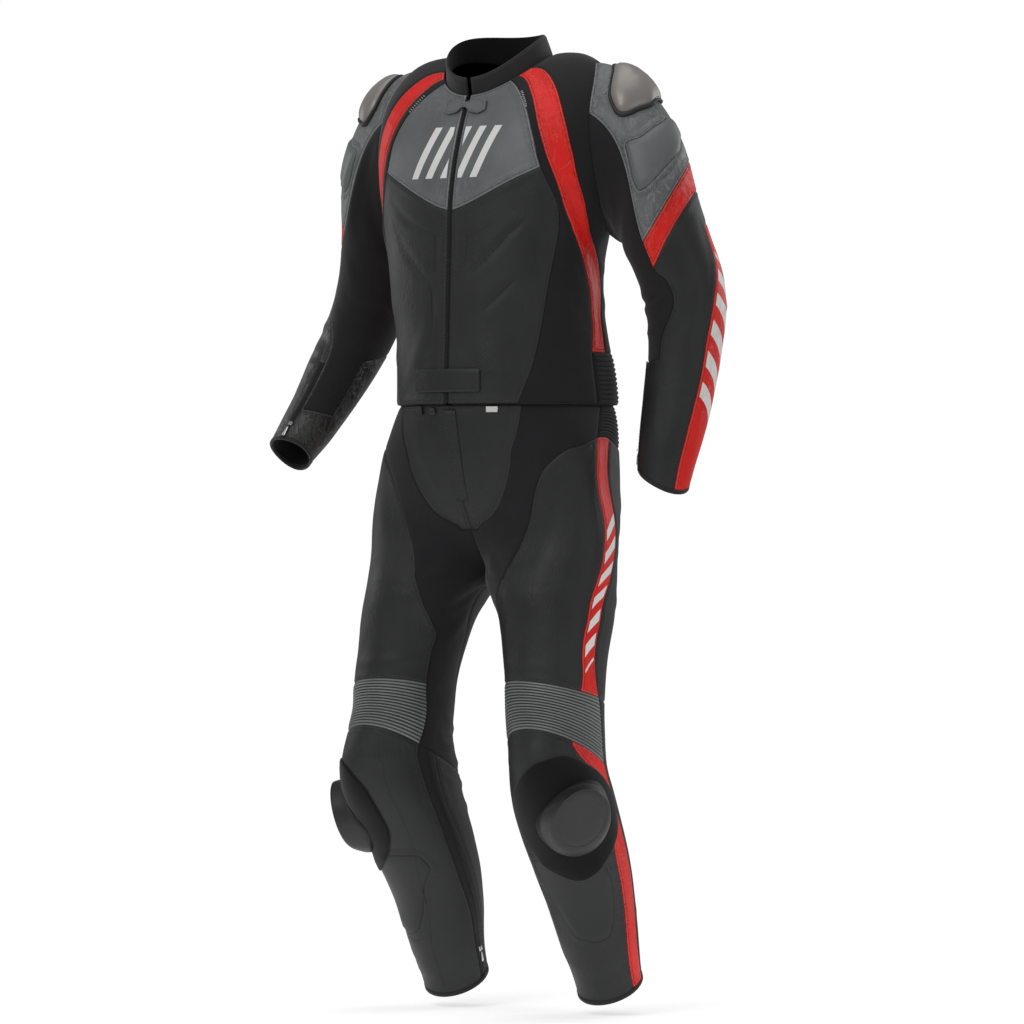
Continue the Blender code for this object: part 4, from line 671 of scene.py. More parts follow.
def leg_lattice(side, folds):
    made = Lattice(leg_surface, lines(0, LEG_ROWS[-1], LEG_ROWS), lines(0, LEG_COLUMNS[-1], LEG_COLUMNS),
                   side, -1, folds)
    high = made.rows <= LEG_ROWS[3]
    for edge in (0, -1):
        made.normals[high, edge, 0] = 0
    low = ~high
    both = unit(made.normals[low, 0] + made.normals[low, -1])
    made.normals[low, 0] = made.normals[low, -1] = both
    made.lift[low, -1] = made.lift[low, 0]
    return made


# Panels -----------------------------------------------------------------------------------------
WELD = 2e-5


def welded(points):
    """One index for each place, and the places."""
    keys = np.round(points / WELD).astype(np.int64)
    _, first, index = np.unique(keys, axis=0, return_index=True, return_inverse=True)
    return index.reshape(-1), first


def cells(blocks):
    """Points, directions, lifts, weave places and faces of blocks of lattices, welded."""
    parts, faces, start = [], [], 0
    for lattice, rows, columns, *more in blocks:
        i, j = lattice.block(rows, columns)
        grid = np.ix_(i, j)
        lift = lattice.lift[grid] + (more[0](lattice.rows[i], lattice.columns[j]) if more else 0)
        weave = lattice.weave[grid]
        if len(blocks) == 1:
            weave = weave - np.stack((weave[:, :1, 0] + 0 * weave[..., 0],
                                      weave[:1, :, 1] + 0 * weave[..., 1]), -1)
        parts.append((lattice.points[grid].reshape(-1, 3), lattice.normals[grid].reshape(-1, 3),
                      lift.reshape(-1), weave.reshape(-1, 2), lattice.pad[grid].reshape(-1)))
        number = start + np.arange(len(i) * len(j)).reshape(len(i), len(j))
        quads = np.stack((number[:-1, :-1], number[:-1, 1:], number[1:, 1:], number[1:, :-1]), -1)
        quads = quads.reshape(-1, 4)
        faces.append(quads if lattice.flip > 0 else quads[:, ::-1])
        start += number.size
    points, normals, lifts, weave, pad = (np.concatenate(p) for p in zip(*parts))
    index, first = welded(points)
    total = np.zeros((len(first), 3))
    np.add.at(total, index, normals)
    return points[first], unit(total), lifts[first], weave[first], pad[first], index[np.concatenate(faces)]


def borders(faces):
    """Each edge that only one face has, from its first point to its second."""
    edges = np.stack((faces, np.roll(faces, -1, axis=1)), -1).reshape(-1, 2)
    edges = edges[edges[:, 0] != edges[:, 1]]
    known = {(int(a), int(b)) for a, b in edges}
    return {a: b for a, b in known if (b, a) not in known}


def loops(after):
    """Chains of border points, each closed."""
    left, made = dict(after), []
    while left:
        way = [next(iter(left))]
        while way[-1] in left:
            way.append(left.pop(way[-1]))
        made.append(way[:-1])
    return made


def inward_ways(points, faces, after):
    """For each border point, the direction into the panel along its surface."""
    middle = points[faces].mean(axis=1)
    of_edge = {}
    for face, centre in zip(faces.tolist(), middle):
        for a, b in zip(face, face[1:] + face[:1]):
            if after.get(a) == b:
                of_edge[a] = centre
    total = {k: np.zeros(3) for k in after}
    for a, b in after.items():
        way = unit(points[b] - points[a])
        to = of_edge[a] - points[a]
        to = unit(to - way * (to @ way))
        total[a] += to
        total[b] += to
    return {k: unit(v) for k, v in total.items()}


def edge_distance(points, after):
    """Distance of each point of a panel from the panel's border."""
    border = np.array(list(after.items()))
    ends, others = points[border[:, 0]], points[border[:, 1]]
    near = np.full(len(points), 1.0)
    way = others - ends
    length = np.maximum((way * way).sum(1), 1e-14)
    for start in range(0, len(points), 400):
        some = points[start:start + 400, None]
        f = np.clip(((some - ends) * way).sum(2) / length, 0, 1)
        near[start:start + 400] = np.linalg.norm(some - ends - f[..., None] * way, axis=2).min(1)
    return near


PANELS = {}                # outer mesh of each panel: points, normals, faces, border


def add_mesh(name, points, faces, finishes, body="suit", smooth=True):
    """A mesh object of the suit that rides on one of its bodies."""
    mesh = bpy.data.meshes.new(name)
    mesh.from_pydata(np.asarray(points).tolist(), [], [list(map(int, f)) for f in faces])
    for finish in finishes:
        mesh.materials.append(FINISH[finish])
    if smooth:
        mesh.shade_smooth()
    made = bpy.data.objects.new(name, mesh)
    bpy.context.scene.collection.objects.link(made)
    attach(made, body)
    return made


def panel(name, node, blocks, finish, thick=LEATHER_THICK, proud=LEATHER_PROUD, lining="lining"):
    """A sewn panel: a shell that dips to its seams, with a plain inside."""
    points, normals, lifts, weave, pad, faces = cells(blocks)
    after = borders(faces)
    distance = edge_distance(points, after)
    calm = 1 - np.exp(-(distance / SEAM_CALM) ** 2)
    ways = inward_ways(points, faces, after)
    dip = min(SEAM_DEEP, 0.7 * thick) * np.exp(-(distance / SEAM_WIDE) ** 2)
    outer = points + normals * (proud + lifts * calm - dip)[:, None]
    inner = points + normals * (np.minimum(lifts, LINING_LIFT) * calm - thick)[:, None]
    for k, way in ways.items():
        outer[k] += way * SEAM_GAP
        inner[k] -= way * SEAM_ALLOWANCE
    count = len(points)
    sides = [(b, a, count + a, count + b) for a, b in after.items()]
    all_faces = faces.tolist() + (faces[:, ::-1] + count).tolist() + sides
    made = add_mesh(name, np.concatenate((outer, inner)), [dedupe(f) for f in all_faces],
                    (finish, lining))
    inside = np.zeros(len(all_faces), dtype=np.int32)
    inside[len(faces):2 * len(faces)] = 1
    made.data.polygons.foreach_set("material_index", inside)
    store(made, "edge", "FLOAT", np.concatenate((distance, distance)))
    store(made, "pad", "FLOAT", np.clip(np.concatenate((pad, pad)), -0.03, 0.03))
    store(made, "weave", "FLOAT_VECTOR", np.pad(np.concatenate((weave, weave)), ((0, 0), (0, 1))))
    PANELS[name] = (outer, faces, after, ways)
    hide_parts(node)
    declare(blocks)
    return made


def dedupe(face):
    return [k for i, k in enumerate(face) if k != face[i - 1]]


def store(made, name, kind, values):
    attribute = made.data.attributes.get(name) or made.data.attributes.new(name, kind, "POINT")
    attribute.data.foreach_set("vector" if kind == "FLOAT_VECTOR" else "value",
                               np.asarray(values, np.float32).reshape(-1))


def declare(blocks):
    """Work out a panel's flat size, without its ribs, pads and folds, and keep none of it. The width adds up
    the widest rows of its blocks, and the length those down one lattice, so a panel that changes its width
    gets too large a size. The area is the panel's own, but raised to the least share of that size that a
    sheet may have."""
    widths, lengths = {}, {}
    for lattice, rows, columns, *_ in blocks:
        i, j = lattice.block(rows, columns)
        weave = lattice.weave[np.ix_(i, j)]
        wide = float(np.ptp(weave[..., 0], axis=1).max())
        for row in range(*rows):
            widths[row] = widths.get(row, 0) + wide
        tall = float(np.ptp(weave[..., 1], axis=0).max())
        key = (id(lattice), columns)
        lengths[key] = max(lengths.get(key, 0), tall)
        for row in range(*rows):
            lengths[(id(lattice), row)] = tall / (rows[1] - rows[0])
    columns = [sum(v for k, v in lengths.items() if k[0] == one and isinstance(k[1], int))
               for one in {k[0] for k in lengths}]


# Finishes ---------------------------------------------------------------------------------------
FINISH, SLOT = {}, {}


def add_node(tree, kind, inputs=None, **settings):
    """A shader node, its inputs given by name or number as values or as sockets to join."""
    made = tree.nodes.new("ShaderNode" + kind)
    for key, value in settings.items():
        setattr(made, key, value)
    for key, value in (inputs or {}).items():
        if isinstance(value, bpy.types.NodeSocket):
            tree.links.new(value, made.inputs[key])
        else:
            made.inputs[key].default_value = value
    return made


def sums(tree, operation, *values, clamp=False):
    """A number worked out from others."""
    return add_node(tree, "Math", dict(enumerate(values)), operation=operation, use_clamp=clamp).outputs[0]


def apart(tree, value, middle):
    """How far a value is from a middle."""
    return sums(tree, "ABSOLUTE", sums(tree, "SUBTRACT", value, middle))


def fading(tree, value, reach):
    """1 where a value is 0, and evenly less up to its reach."""
    return sums(tree, "SUBTRACT", 1.0, sums(tree, "DIVIDE", value, reach), clamp=True)


def group(name, inputs, outputs):
    """An empty node group with named number inputs and outputs."""
    tree = bpy.data.node_groups.new(name, "ShaderNodeTree")
    for label, value in inputs.items():
        socket = tree.interface.new_socket(label, in_out="INPUT", socket_type="NodeSocketFloat")
        socket.default_value = value
    for label in outputs:
        tree.interface.new_socket(label, in_out="OUTPUT", socket_type="NodeSocketFloat")
    return tree, tree.nodes.new("NodeGroupInput").outputs, tree.nodes.new("NodeGroupOutput").inputs


def leather_grain():
    """Pebbled grain with fine creases: its height, and a slow mottle."""
    tree, given, out = group("Leather grain", {"Pebbles": 620.0, "Creases": 0.5}, ("Height", "Mottle"))
    place = add_node(tree, "TexCoord").outputs["Object"]
    bend = add_node(tree, "TexNoise", {"Vector": place, "Scale": 90.0, "Detail": 2.0})
    bent = add_node(tree, "MixRGB", {"Fac": 0.004, "Color1": place, "Color2": bend.outputs["Color"]},
                    blend_type="ADD").outputs[0]
    pebbles = add_node(tree, "TexVoronoi", {"Vector": bent, "Scale": given["Pebbles"]},
                       feature="SMOOTH_F1")
    creases = add_node(tree, "TexNoise", {"Vector": bent, "Scale": 55.0, "Detail": 5.0,
                                          "Roughness": 0.62, "Distortion": 0.8})
    ridged = apart(tree, creases.outputs["Fac"], 0.5)
    mottle = add_node(tree, "TexNoise", {"Vector": place, "Scale": 14.0, "Detail": 4.0})
    height = sums(tree, "MULTIPLY_ADD", pebbles.outputs["Distance"], -0.6,
                  sums(tree, "MULTIPLY", ridged, given["Creases"]))
    tree.links.new(height, out["Height"])
    tree.links.new(mottle.outputs["Fac"], out["Mottle"])
    return tree


def seam_edge():
    """What lies beside a seam: a dark line of painted shade in it, a pressed line under the stitches, and a
    pale edge that is partly real rubbing and partly painted highlight. Along a pad's outline it paints shade
    into the groove and a highlight on the rim just outside; in an accordion, shade into its valleys.
    """
    tree, given, out = group("Seam edge", {"Stitch Line": 0.0042}, ("Height", "Shade", "Wear and Highlight", "Pucker"))
    edge = add_node(tree, "Attribute", attribute_name="edge").outputs["Fac"]
    pressed = fading(tree, apart(tree, edge, given["Stitch Line"]), 0.0011)
    # Painted shade: a dark line where the panel dips into its seam.
    shade = fading(tree, edge, 0.0011)
    # A pale band just beside the seam, partly real rubbing of the leather and partly painted highlight.
    wear_and_highlight = fading(tree, apart(tree, edge, 0.0022), 0.0016)
    pad = add_node(tree, "Attribute", attribute_name="pad").outputs["Fac"]
    # Painted shade in the groove round a pad, and in the valleys of an accordion, where the pad attribute is
    # near 0.
    groove = fading(tree, sums(tree, "ABSOLUTE", pad), 0.0014)
    shade = sums(tree, "MAXIMUM", shade, sums(tree, "MULTIPLY", groove, 0.75))
    # Painted highlight on the rim just outside a pad's groove.
    lip_highlight = fading(tree, apart(tree, pad, -0.0022), 0.0012)
    wear_and_highlight = sums(tree, "MAXIMUM", wear_and_highlight, sums(tree, "MULTIPLY", lip_highlight, 0.7))
    pressed = sums(tree, "ADD", pressed, sums(tree, "MULTIPLY", groove, 1.6))
    place = add_node(tree, "TexCoord").outputs["Object"]
    wrinkle = add_node(tree, "TexNoise", {"Vector": place, "Scale": 120.0, "Detail": 3.0, "Roughness": 0.55,
                                          "Distortion": 1.2}).outputs["Fac"]
    beside_seam = fading(tree, edge, 0.014)
    beside_pad = fading(tree, apart(tree, pad, -0.005), 0.007)
    near = sums(tree, "MAXIMUM", beside_seam, beside_pad)
    tree.links.new(sums(tree, "MULTIPLY", wrinkle, near), out["Pucker"])
    tree.links.new(sums(tree, "MULTIPLY", pressed, -1.0), out["Height"])
    tree.links.new(shade, out["Shade"])
    tree.links.new(wear_and_highlight, out["Wear and Highlight"])
    return tree


def knit():
    """Fine diagonal ribs of stretch cloth along the panel's own directions."""
    tree, given, out = group("Stretch knit", {"Ribs": 900.0}, ("Height",))
    weave = add_node(tree, "Attribute", attribute_name="weave").outputs["Vector"]
    part = add_node(tree, "SeparateXYZ", {0: weave})
    one = sums(tree, "MULTIPLY", sums(tree, "ADD", part.outputs[0], part.outputs[1]), given["Ribs"])
    two = sums(tree, "MULTIPLY", sums(tree, "SUBTRACT", part.outputs[0], part.outputs[1]), given["Ribs"])
    tree.links.new(sums(tree, "MULTIPLY", sums(tree, "SINE", one), sums(tree, "SINE", two)), out["Height"])
    return tree


def placed(tree, name, **inputs):
    """A node group set in a material; returns its outputs."""
    made = add_node(tree, "Group", {key.replace("_", " "): value for key, value in inputs.items()},
                    node_tree=GROUPS[name])
    return made.outputs


def new_finish(name, slot, roughness, **settings):
    """A material with its main shader; returns its tree and the shader's inputs."""
    made = bpy.data.materials.new(name)
    made.use_nodes = True
    shader = made.node_tree.nodes["Principled BSDF"]
    shader.inputs["Roughness"].default_value = roughness
    for key, value in settings.items():
        shader.inputs[key.replace("_", " ")].default_value = value
    FINISH[name], SLOT[name] = made, slot
    return made.node_tree, shader.inputs


def tint(tree, fac, one, two):
    """A mix of two colours."""
    return add_node(tree, "MixRGB", {"Fac": fac, "Color1": one if isinstance(one, bpy.types.NodeSocket)
                                     else (*one, 1), "Color2": (*two, 1)}).outputs[0]


def bump(tree, height, distance, strength=1.0, below=None):
    """A height turned into a normal, over another one."""
    inputs = {"Height": height, "Distance": distance, "Strength": strength}
    if below:
        inputs["Normal"] = below
    return add_node(tree, "Bump", inputs).outputs["Normal"]


def cloth_creases():
    """Short fine creases in patches: their height, and where they lie; none on the pads."""
    tree, given, out = group("Fine creases", {"Scale": 46.0}, ("Height", "Line"))
    place = add_node(tree, "TexCoord").outputs["Object"]
    place = add_node(tree, "VectorMath", {0: place, 1: (1.0, 1.0, 0.5)}, operation="MULTIPLY").outputs[0]
    waves = add_node(tree, "TexNoise", {"Vector": place, "Scale": given["Scale"], "Detail": 3.0,
                                        "Roughness": 0.55, "Distortion": 1.1}).outputs["Fac"]
    line = sums(tree, "SUBTRACT", 1.0, sums(tree, "MULTIPLY", apart(tree, waves, 0.5), 16.0), clamp=True)
    patch = add_node(tree, "TexNoise", {"Vector": place, "Scale": 13.0, "Detail": 2.0}).outputs["Fac"]
    patch = add_node(tree, "MapRange", {"Value": patch, "From Min": 0.40, "From Max": 0.58}).outputs[0]
    pad = add_node(tree, "Attribute", attribute_name="pad").outputs["Fac"]
    line = sums(tree, "MULTIPLY", sums(tree, "MULTIPLY", line, patch), sums(tree, "LESS_THAN", pad, 0.001))
    tree.links.new(sums(tree, "MULTIPLY", line, -1.0), out["Height"])
    tree.links.new(line, out["Line"])
    return tree


GROUPS = {tree.name: tree for tree in (leather_grain(), seam_edge(), knit(), cloth_creases())}


def leather(name, slot, dark, light, wear_highlight_colour, roughness, bars=None, puckered=0.4, creased=0.15):
    """Dyed leather: mottled, with painted shade in its seams and pad grooves, paler on the edges beside them
    (partly real rubbing, partly painted highlight), and with crease lines painted paler as highlights.
    """
    tree, shader = new_finish(name, slot, roughness, Specular_IOR_Level=0.36)
    grain, seam, crease = (placed(tree, label) for label in ("Leather grain", "Seam edge", "Fine creases"))
    even = add_node(tree, "MapRange", {"Value": grain["Mottle"], "From Min": 0.3, "From Max": 0.7}).outputs[0]
    colour = tint(tree, even, dark, light)
    if bars:
        colour = tint(tree, slanted_bars(tree, **bars), colour, (0.80, 0.79, 0.77))
    # Painted highlight: fine crease lines tinted towards the pale third colour.
    colour = tint(tree, sums(tree, "MULTIPLY", crease["Line"], 0.4 * creased), colour, wear_highlight_colour)
    # Pale band beside the seams and pads: partly real rubbing, partly painted highlight.
    colour = tint(tree, sums(tree, "MULTIPLY", seam["Wear and Highlight"], 0.35), colour, wear_highlight_colour)
    # Painted shade: near black in the seams and pad grooves.
    colour = tint(tree, sums(tree, "MULTIPLY", seam["Shade"], 0.85), colour, (0.004, 0.004, 0.004))
    tree.links.new(colour, shader["Base Color"])
    rough = add_node(tree, "MapRange", {"Value": grain["Mottle"], "From Min": 0.3, "From Max": 0.7,
                                        "To Min": roughness - 0.06, "To Max": roughness + 0.08})
    tree.links.new(rough.outputs[0], shader["Roughness"])
    fine = bump(tree, grain["Height"], 0.0004, 0.55)
    fine = bump(tree, crease["Height"], 0.0022, creased, fine)
    rough_edge = bump(tree, seam["Pucker"], 0.0050, puckered, fine)
    tree.links.new(bump(tree, seam["Height"], 0.0005, 1.0, rough_edge), shader["Normal"])


def slanted_bars(tree, low, high, pitch, slope, share=0.5):
    """A row of plain slanted bars along a panel, as a mask."""
    weave = add_node(tree, "Attribute", attribute_name="weave").outputs["Vector"]
    part = add_node(tree, "SeparateXYZ", {0: weave})
    edge = add_node(tree, "Attribute", attribute_name="edge").outputs["Fac"]
    along = sums(tree, "MULTIPLY_ADD", part.outputs[0], slope, part.outputs[1])
    stripe = sums(tree, "LESS_THAN", sums(tree, "FRACT", sums(tree, "DIVIDE", along, pitch)), share)
    inside = sums(tree, "MULTIPLY", sums(tree, "GREATER_THAN", along, low),
                  sums(tree, "LESS_THAN", along, high))
    inside = sums(tree, "MULTIPLY", inside, sums(tree, "GREATER_THAN", edge, 0.005))
    return sums(tree, "MULTIPLY", stripe, inside)


def ribbed_leather(name, slot, dark, light, roughness):
    """Thin leather stitched into ribs, painted pale on their crests as a highlight and near black in the
    valleys between them as shade.
    """
    tree, shader = new_finish(name, slot, roughness)
    # How far up its rib each point is; it sets the painted light and shade.
    up = sums(tree, "MULTIPLY", add_node(tree, "Attribute", attribute_name="pad").outputs["Fac"], 50.0)
    up = sums(tree, "POWER", sums(tree, "MINIMUM", up, 1.0), 2.4)
    grain = placed(tree, "Leather grain")
    uneven = add_node(tree, "MapRange", {"Value": grain["Mottle"], "From Min": 0.3, "From Max": 0.7,
                                         "To Min": 0.65, "To Max": 1.1}).outputs[0]
    # Painted shade in the valleys, painted highlight on the crests, unevened by the mottle.
    colour = tint(tree, sums(tree, "MULTIPLY", up, uneven, clamp=True), dark, light)
    tree.links.new(colour, shader["Base Color"])
    tree.links.new(bump(tree, grain["Height"], 0.0004, 0.5), shader["Normal"])


def stretch_cloth(name, slot, colour, roughness):
    """Matt stretch cloth with a fine knit and a soft sheen, and painted shade in its seams, pad grooves and
    accordion valleys.
    """
    tree, shader = new_finish(name, slot, roughness, Sheen_Weight=0.12, Sheen_Roughness=0.5,
                              Specular_IOR_Level=0.25)
    place = add_node(tree, "TexCoord").outputs["Object"]
    mottle = add_node(tree, "TexNoise", {"Vector": place, "Scale": 22.0, "Detail": 3.0}).outputs["Fac"]
    seam = placed(tree, "Seam edge")
    colour = tint(tree, mottle, tuple(0.8 * c for c in colour), tuple(1.25 * c for c in colour))
    # Painted shade: near black in the seams, pad grooves and accordion valleys.
    colour = tint(tree, sums(tree, "MULTIPLY", seam["Shade"], 0.8), colour, (0.002, 0.002, 0.002))
    tree.links.new(colour, shader["Base Color"])
    fine = bump(tree, placed(tree, "Stretch knit")["Height"], 0.0002, 0.4)
    tree.links.new(fine, shader["Normal"])


def plain_hard(name, slot, colour, roughness, metallic, scratch):
    """Moulded plastic, plate or bare metal, with fine scuffs."""
    tree, shader = new_finish(name, slot, roughness, Metallic=metallic)
    place = add_node(tree, "TexCoord").outputs["Object"]
    scuffs = add_node(tree, "TexNoise", {"Vector": place, "Scale": 160.0, "Detail": 6.0, "Roughness": 0.7})
    mottle = add_node(tree, "TexNoise", {"Vector": place, "Scale": 30.0, "Detail": 3.0})
    tree.links.new(tint(tree, mottle.outputs["Fac"], tuple(0.88 * c for c in colour),
                        tuple(1.12 * c for c in colour)), shader["Base Color"])
    rough = add_node(tree, "MapRange", {"Value": scuffs.outputs["Fac"], "From Min": 0.35, "From Max": 0.65,
                                        "To Min": roughness - scratch, "To Max": roughness + scratch})
    tree.links.new(rough.outputs[0], shader["Roughness"])
    tree.links.new(bump(tree, scuffs.outputs["Fac"], 0.0001, 0.3), shader["Normal"])


# The third colour of each leather is the pale tint of its crease lines and seam edges: partly real rubbing,
# partly painted highlight.
leather("black_leather", "black_leather", (0.0135, 0.0140, 0.0148), (0.0195, 0.0202, 0.0212),
        (0.036, 0.037, 0.038), 0.52)
leather("grey_leather", "grey_leather", (0.098, 0.105, 0.107), (0.140, 0.149, 0.151),
        (0.36, 0.37, 0.37), 0.44, puckered=0.8, creased=0.22)
# The shoulders' copy paints its crease lines paler and more strongly, as highlights.
leather("grey_arm_leather", "grey_leather", (0.098, 0.105, 0.107), (0.145, 0.154, 0.156),
        (0.42, 0.43, 0.43), 0.40, puckered=1.0, creased=0.75)
# A lighter, glossier copy of the black leather for the right forearm: its paler colours are painted light
# where that panel is brightly lit.
leather("black_leather_painted_light", "black_leather", (0.0150, 0.0148, 0.0145), (0.028, 0.0275, 0.0268),
        (0.11, 0.106, 0.10), 0.33, puckered=0.9, creased=0.45)
# The third red is the pale pink of the crease lines and seam edges, partly real rubbing and partly painted
# highlight.
RED = ((0.62, 0.0055, 0.0030), (0.78, 0.0090, 0.0050), (0.90, 0.11, 0.07))
leather("red_leather", "red_leather", *RED, 0.46, puckered=0.9, creased=0.5)
leather("red_arm_leather", "red_leather", *RED, 0.46, creased=0.4,
        bars={"low": 0.098, "high": 0.335, "pitch": 0.043, "slope": 0.9})
leather("red_thigh_leather", "red_leather", *RED, 0.46, creased=0.3,
        bars={"low": 0.150, "high": 0.375, "pitch": 0.037, "slope": 0.9})
# Ribbed leather: the first colour is painted shade in the valleys, the second a painted highlight on the
# crests.
ribbed_leather("ribbed_leather", "ribbed_grey", (0.017, 0.018, 0.018), (0.21, 0.22, 0.22), 0.55)
# Painted shadow: the near-black strips laid along the pressed lines.
plain_hard("pressed_line_shadow", "black_leather", (0.0045, 0.0045, 0.0048), 0.6, 0.0, 0.02)
stretch_cloth("stretch", "black_stretch", (0.0105, 0.0095, 0.0110), 0.85)
stretch_cloth("collar_cloth", "black_stretch", (0.018, 0.017, 0.017), 0.7)
stretch_cloth("lining", "black_stretch", (0.0060, 0.0050, 0.0050), 0.9)
stretch_cloth("zip_cloth", "zip_tape", (0.009, 0.009, 0.010), 0.75)
stretch_cloth("hook_cloth", "hook_pad", (0.0045, 0.0045, 0.005), 0.97)
plain_hard("plate", "shell", (0.235, 0.222, 0.205), 0.36, 0.25, 0.05)
plain_hard("slider_plastic", "slider_plastic", (0.0105, 0.0105, 0.0110), 0.50, 0.0, 0.05)
plain_hard("bare_metal", "zip_metal", (0.55, 0.55, 0.56), 0.30, 1.0, 0.08)
plain_hard("dark_metal", "zip_metal", (0.05, 0.05, 0.052), 0.35, 0.8, 0.08)
plain_hard("rubber", "slider_plastic", (0.010, 0.010, 0.010), 0.55, 0.0, 0.05)
plain_hard("thread", "black_stretch", (0.05, 0.05, 0.052), 0.6, 0.0, 0.05)
plain_hard("white_print", "grey_leather", (0.70, 0.70, 0.68), 0.5, 0.0, 0.06)
plain_hard("label_white", "zip_tape", (0.62, 0.61, 0.59), 0.7, 0.0, 0.05)


# The suit's panels -------------------------------------------------------------------------------
RIB, RIB_SAMPLES = 0.0016, 6
JACKET_RIBS, TROUSER_RIBS, KNEE_RIBS = 11, 10, 17


def ribbed(first, last, count, groove=0.0007):
    """Lift of an accordion: soft round ribs between stitched grooves."""
    def lift(rows, columns):
        phase = (rows - first) / (last - first) * count
        round_top = np.abs(np.sin(math.pi * phase)) ** 0.7
        return np.broadcast_to((round_top * (RIB + groove) - groove)[:, None], (len(rows), len(columns)))
    return lift


def crest(lattice, first, last, count):
    """Note how far each point is up its rib."""
    phase = (lattice.rows - first) / (last - first) * count
    # The finishes paint shade into the valleys from this, and paint the knee ribs' crests pale as a
    # highlight.
    up = 0.02 * np.abs(np.sin(math.pi * phase)) + 0.0004
    lattice.pad = np.broadcast_to(up[:, None], lattice.pad.shape).copy()


def rib_lines(first, last, count):
    return np.linspace(first, last, count * RIB_SAMPLES + 1)


def share_middle(one, two, edge, rows):
    """Let a left and a right lattice agree along the suit's middle line."""
    both = 0.5 * (one.lift[rows, edge] + two.lift[rows, edge])
    one.lift[rows, edge] = two.lift[rows, edge] = both


BODIES = {name: body_lattices(side, FOLDS.get(f"body_{name}", ())) for name, side in SIDES}
share_middle(BODIES["left"][1], BODIES["right"][1], -1, slice(None))
SLEEVES = {name: sleeve_lattice(name, side, FOLDS.get(f"sleeve_{name}", ()), BODIES[name])
           for name, side in SIDES}
LEGS = {name: leg_lattice(side, FOLDS.get(f"leg_{name}", ())) for name, side in SIDES}
for edge in (0, -1):
    share_middle(LEGS["left"], LEGS["right"], edge, LEGS["left"].rows <= LEG_ROWS[3])


ARM_PAD = ((2.25, 3.42), (3.08, 2.25), (3.65, 0.8), (3.95, -0.5), (4.7, -0.6), (5.15, 0.3), (4.9, 1.6),
           (4.6, 2.8), (4.25, 3.42), (3.6, 3.6))
SHIN_PAD = ((17.5, 7.5), (17.9, 7.2), (18.4, 7.9), (19.3, 8.6), (19.85, 9.2), (20.05, 10.2), (19.95, 10.95),
            (19.3, 11.3), (17.9, 11.4), (17.4, 11.0), (17.5, 9.3))
for name, side in SIDES:
    SLEEVES[name].raise_pad(sleeve_surface(name), ARM_PAD, 0.0040, side)
    LEGS[name].raise_pad(leg_surface, SHIN_PAD, 0.0032, side)


def jacket_body():
    for name, side in SIDES:
        ahead, behind = BODIES[name]
        panel(f"chest_panel_{name}", f"chest_{name}", [(ahead, (9, 17), (0, 4))], "grey_leather")
        panel(f"front_panel_{name}", f"front_{name}", [(ahead, (0, 9), (0, 4))], "black_leather")
        panel(f"side_panel_{name}", f"side_{name}", [(ahead, (0, 17), (4, 7))], "stretch",
              STRETCH_THICK, 0.0)
        panel(f"stripe_panel_{name}", f"stripe_{name}", [(ahead, (2, 17), (7, 8))], "red_leather")
        panel(f"flank_panel_{name}", f"flank_{name}",
              [(ahead, (2, 17), (8, 10)), (behind, (2, 17), (10, 13))], "stretch", STRETCH_THICK, 0.0)
    panel("back_panel", "back", [(BODIES[name][1], (2, 17), (13, 16)) for name, _ in SIDES], "black_leather")
    blocks = []
    rows, lift = rib_lines(0, 2, JACKET_RIBS), ribbed(0, 2, JACKET_RIBS)
    for name, side in SIDES:
        for surface, span in ((body_front, (7, 10)), (body_back, (10, 16))):
            fine = Lattice(surface, rows, lines(*span, (7, 8, 10, 13)), side)
            if span[1] == 16:
                fine.normals[:, -1, 0] = 0
            crest(fine, 0, 2, JACKET_RIBS)
            blocks.append((fine, (0, 2), span, lift))
    panel("lumbar_accordion", "lumbar", blocks, "stretch", LEATHER_THICK, 0.0)


GUSSET = {"left": (7, 10), "right": (4, 7)}


def sleeve(name):
    grid = SLEEVES[name]
    start, stop = GUSSET[name]
    panel(f"shoulder_panel_{name}", f"sleeve_top_{name}", [(grid, (0, 6), (0, 4)), (grid, (0, 6), (12, 16))],
          "grey_arm_leather")
    panel(f"under_arm_{name}", f"sleeve_inner_{name}",
          [(grid, (0, 12), (4, 12)), (grid, (12, 15), (start, stop))], "stretch", STRETCH_THICK, 0.0)
    panel(f"arm_band_panel_{name}", f"arm_band_{name}",
          [(grid, (6, 7), (0, 4)), (grid, (6, 7), (12, 16))], "red_leather")
    panel(f"forearm_panel_{name}", f"forearm_{name}",
          [(grid, (7, 17), (0, 4)), (grid, (15, 17), (start, stop)), (grid, (12, 17), (4, start)),
           (grid, (12, 17), (stop, 12)), (grid, (7, 17), (12, 14)), (grid, (7, 8), (14, 16))],
          # The right forearm takes the lighter copy, painted light.
          "black_leather_painted_light" if name == "right" else "black_leather")
    panel(f"forearm_stripe_panel_{name}", f"forearm_stripe_{name}", [(grid, (8, 17), (14, 16))],
          "red_arm_leather")


def trousers():
    seat, accordion = [], []
    rows, lift = rib_lines(0, 2, TROUSER_RIBS), ribbed(0, 2, TROUSER_RIBS)
    for name, side in SIDES:
        grid = LEGS[name]
        seat += [(grid, (2, 8), (13, 19)), (grid, (8, 12), (13, 16))]
        fine = Lattice(leg_surface, rows, lines(12, 19, (12, 13, 16)), side, -1)
        fine.normals[:, -1, 0] = 0
        crest(fine, 0, 2, TROUSER_RIBS)
        accordion.append((fine, (0, 2), (12, 19), lift))
    panel("seat_panel", "seat", seat, "black_leather")
    panel("trouser_accordion", "trouser_lumbar", accordion, "stretch", LEATHER_THICK, 0.0)
    for name, side in SIDES:
        leg(name, side)


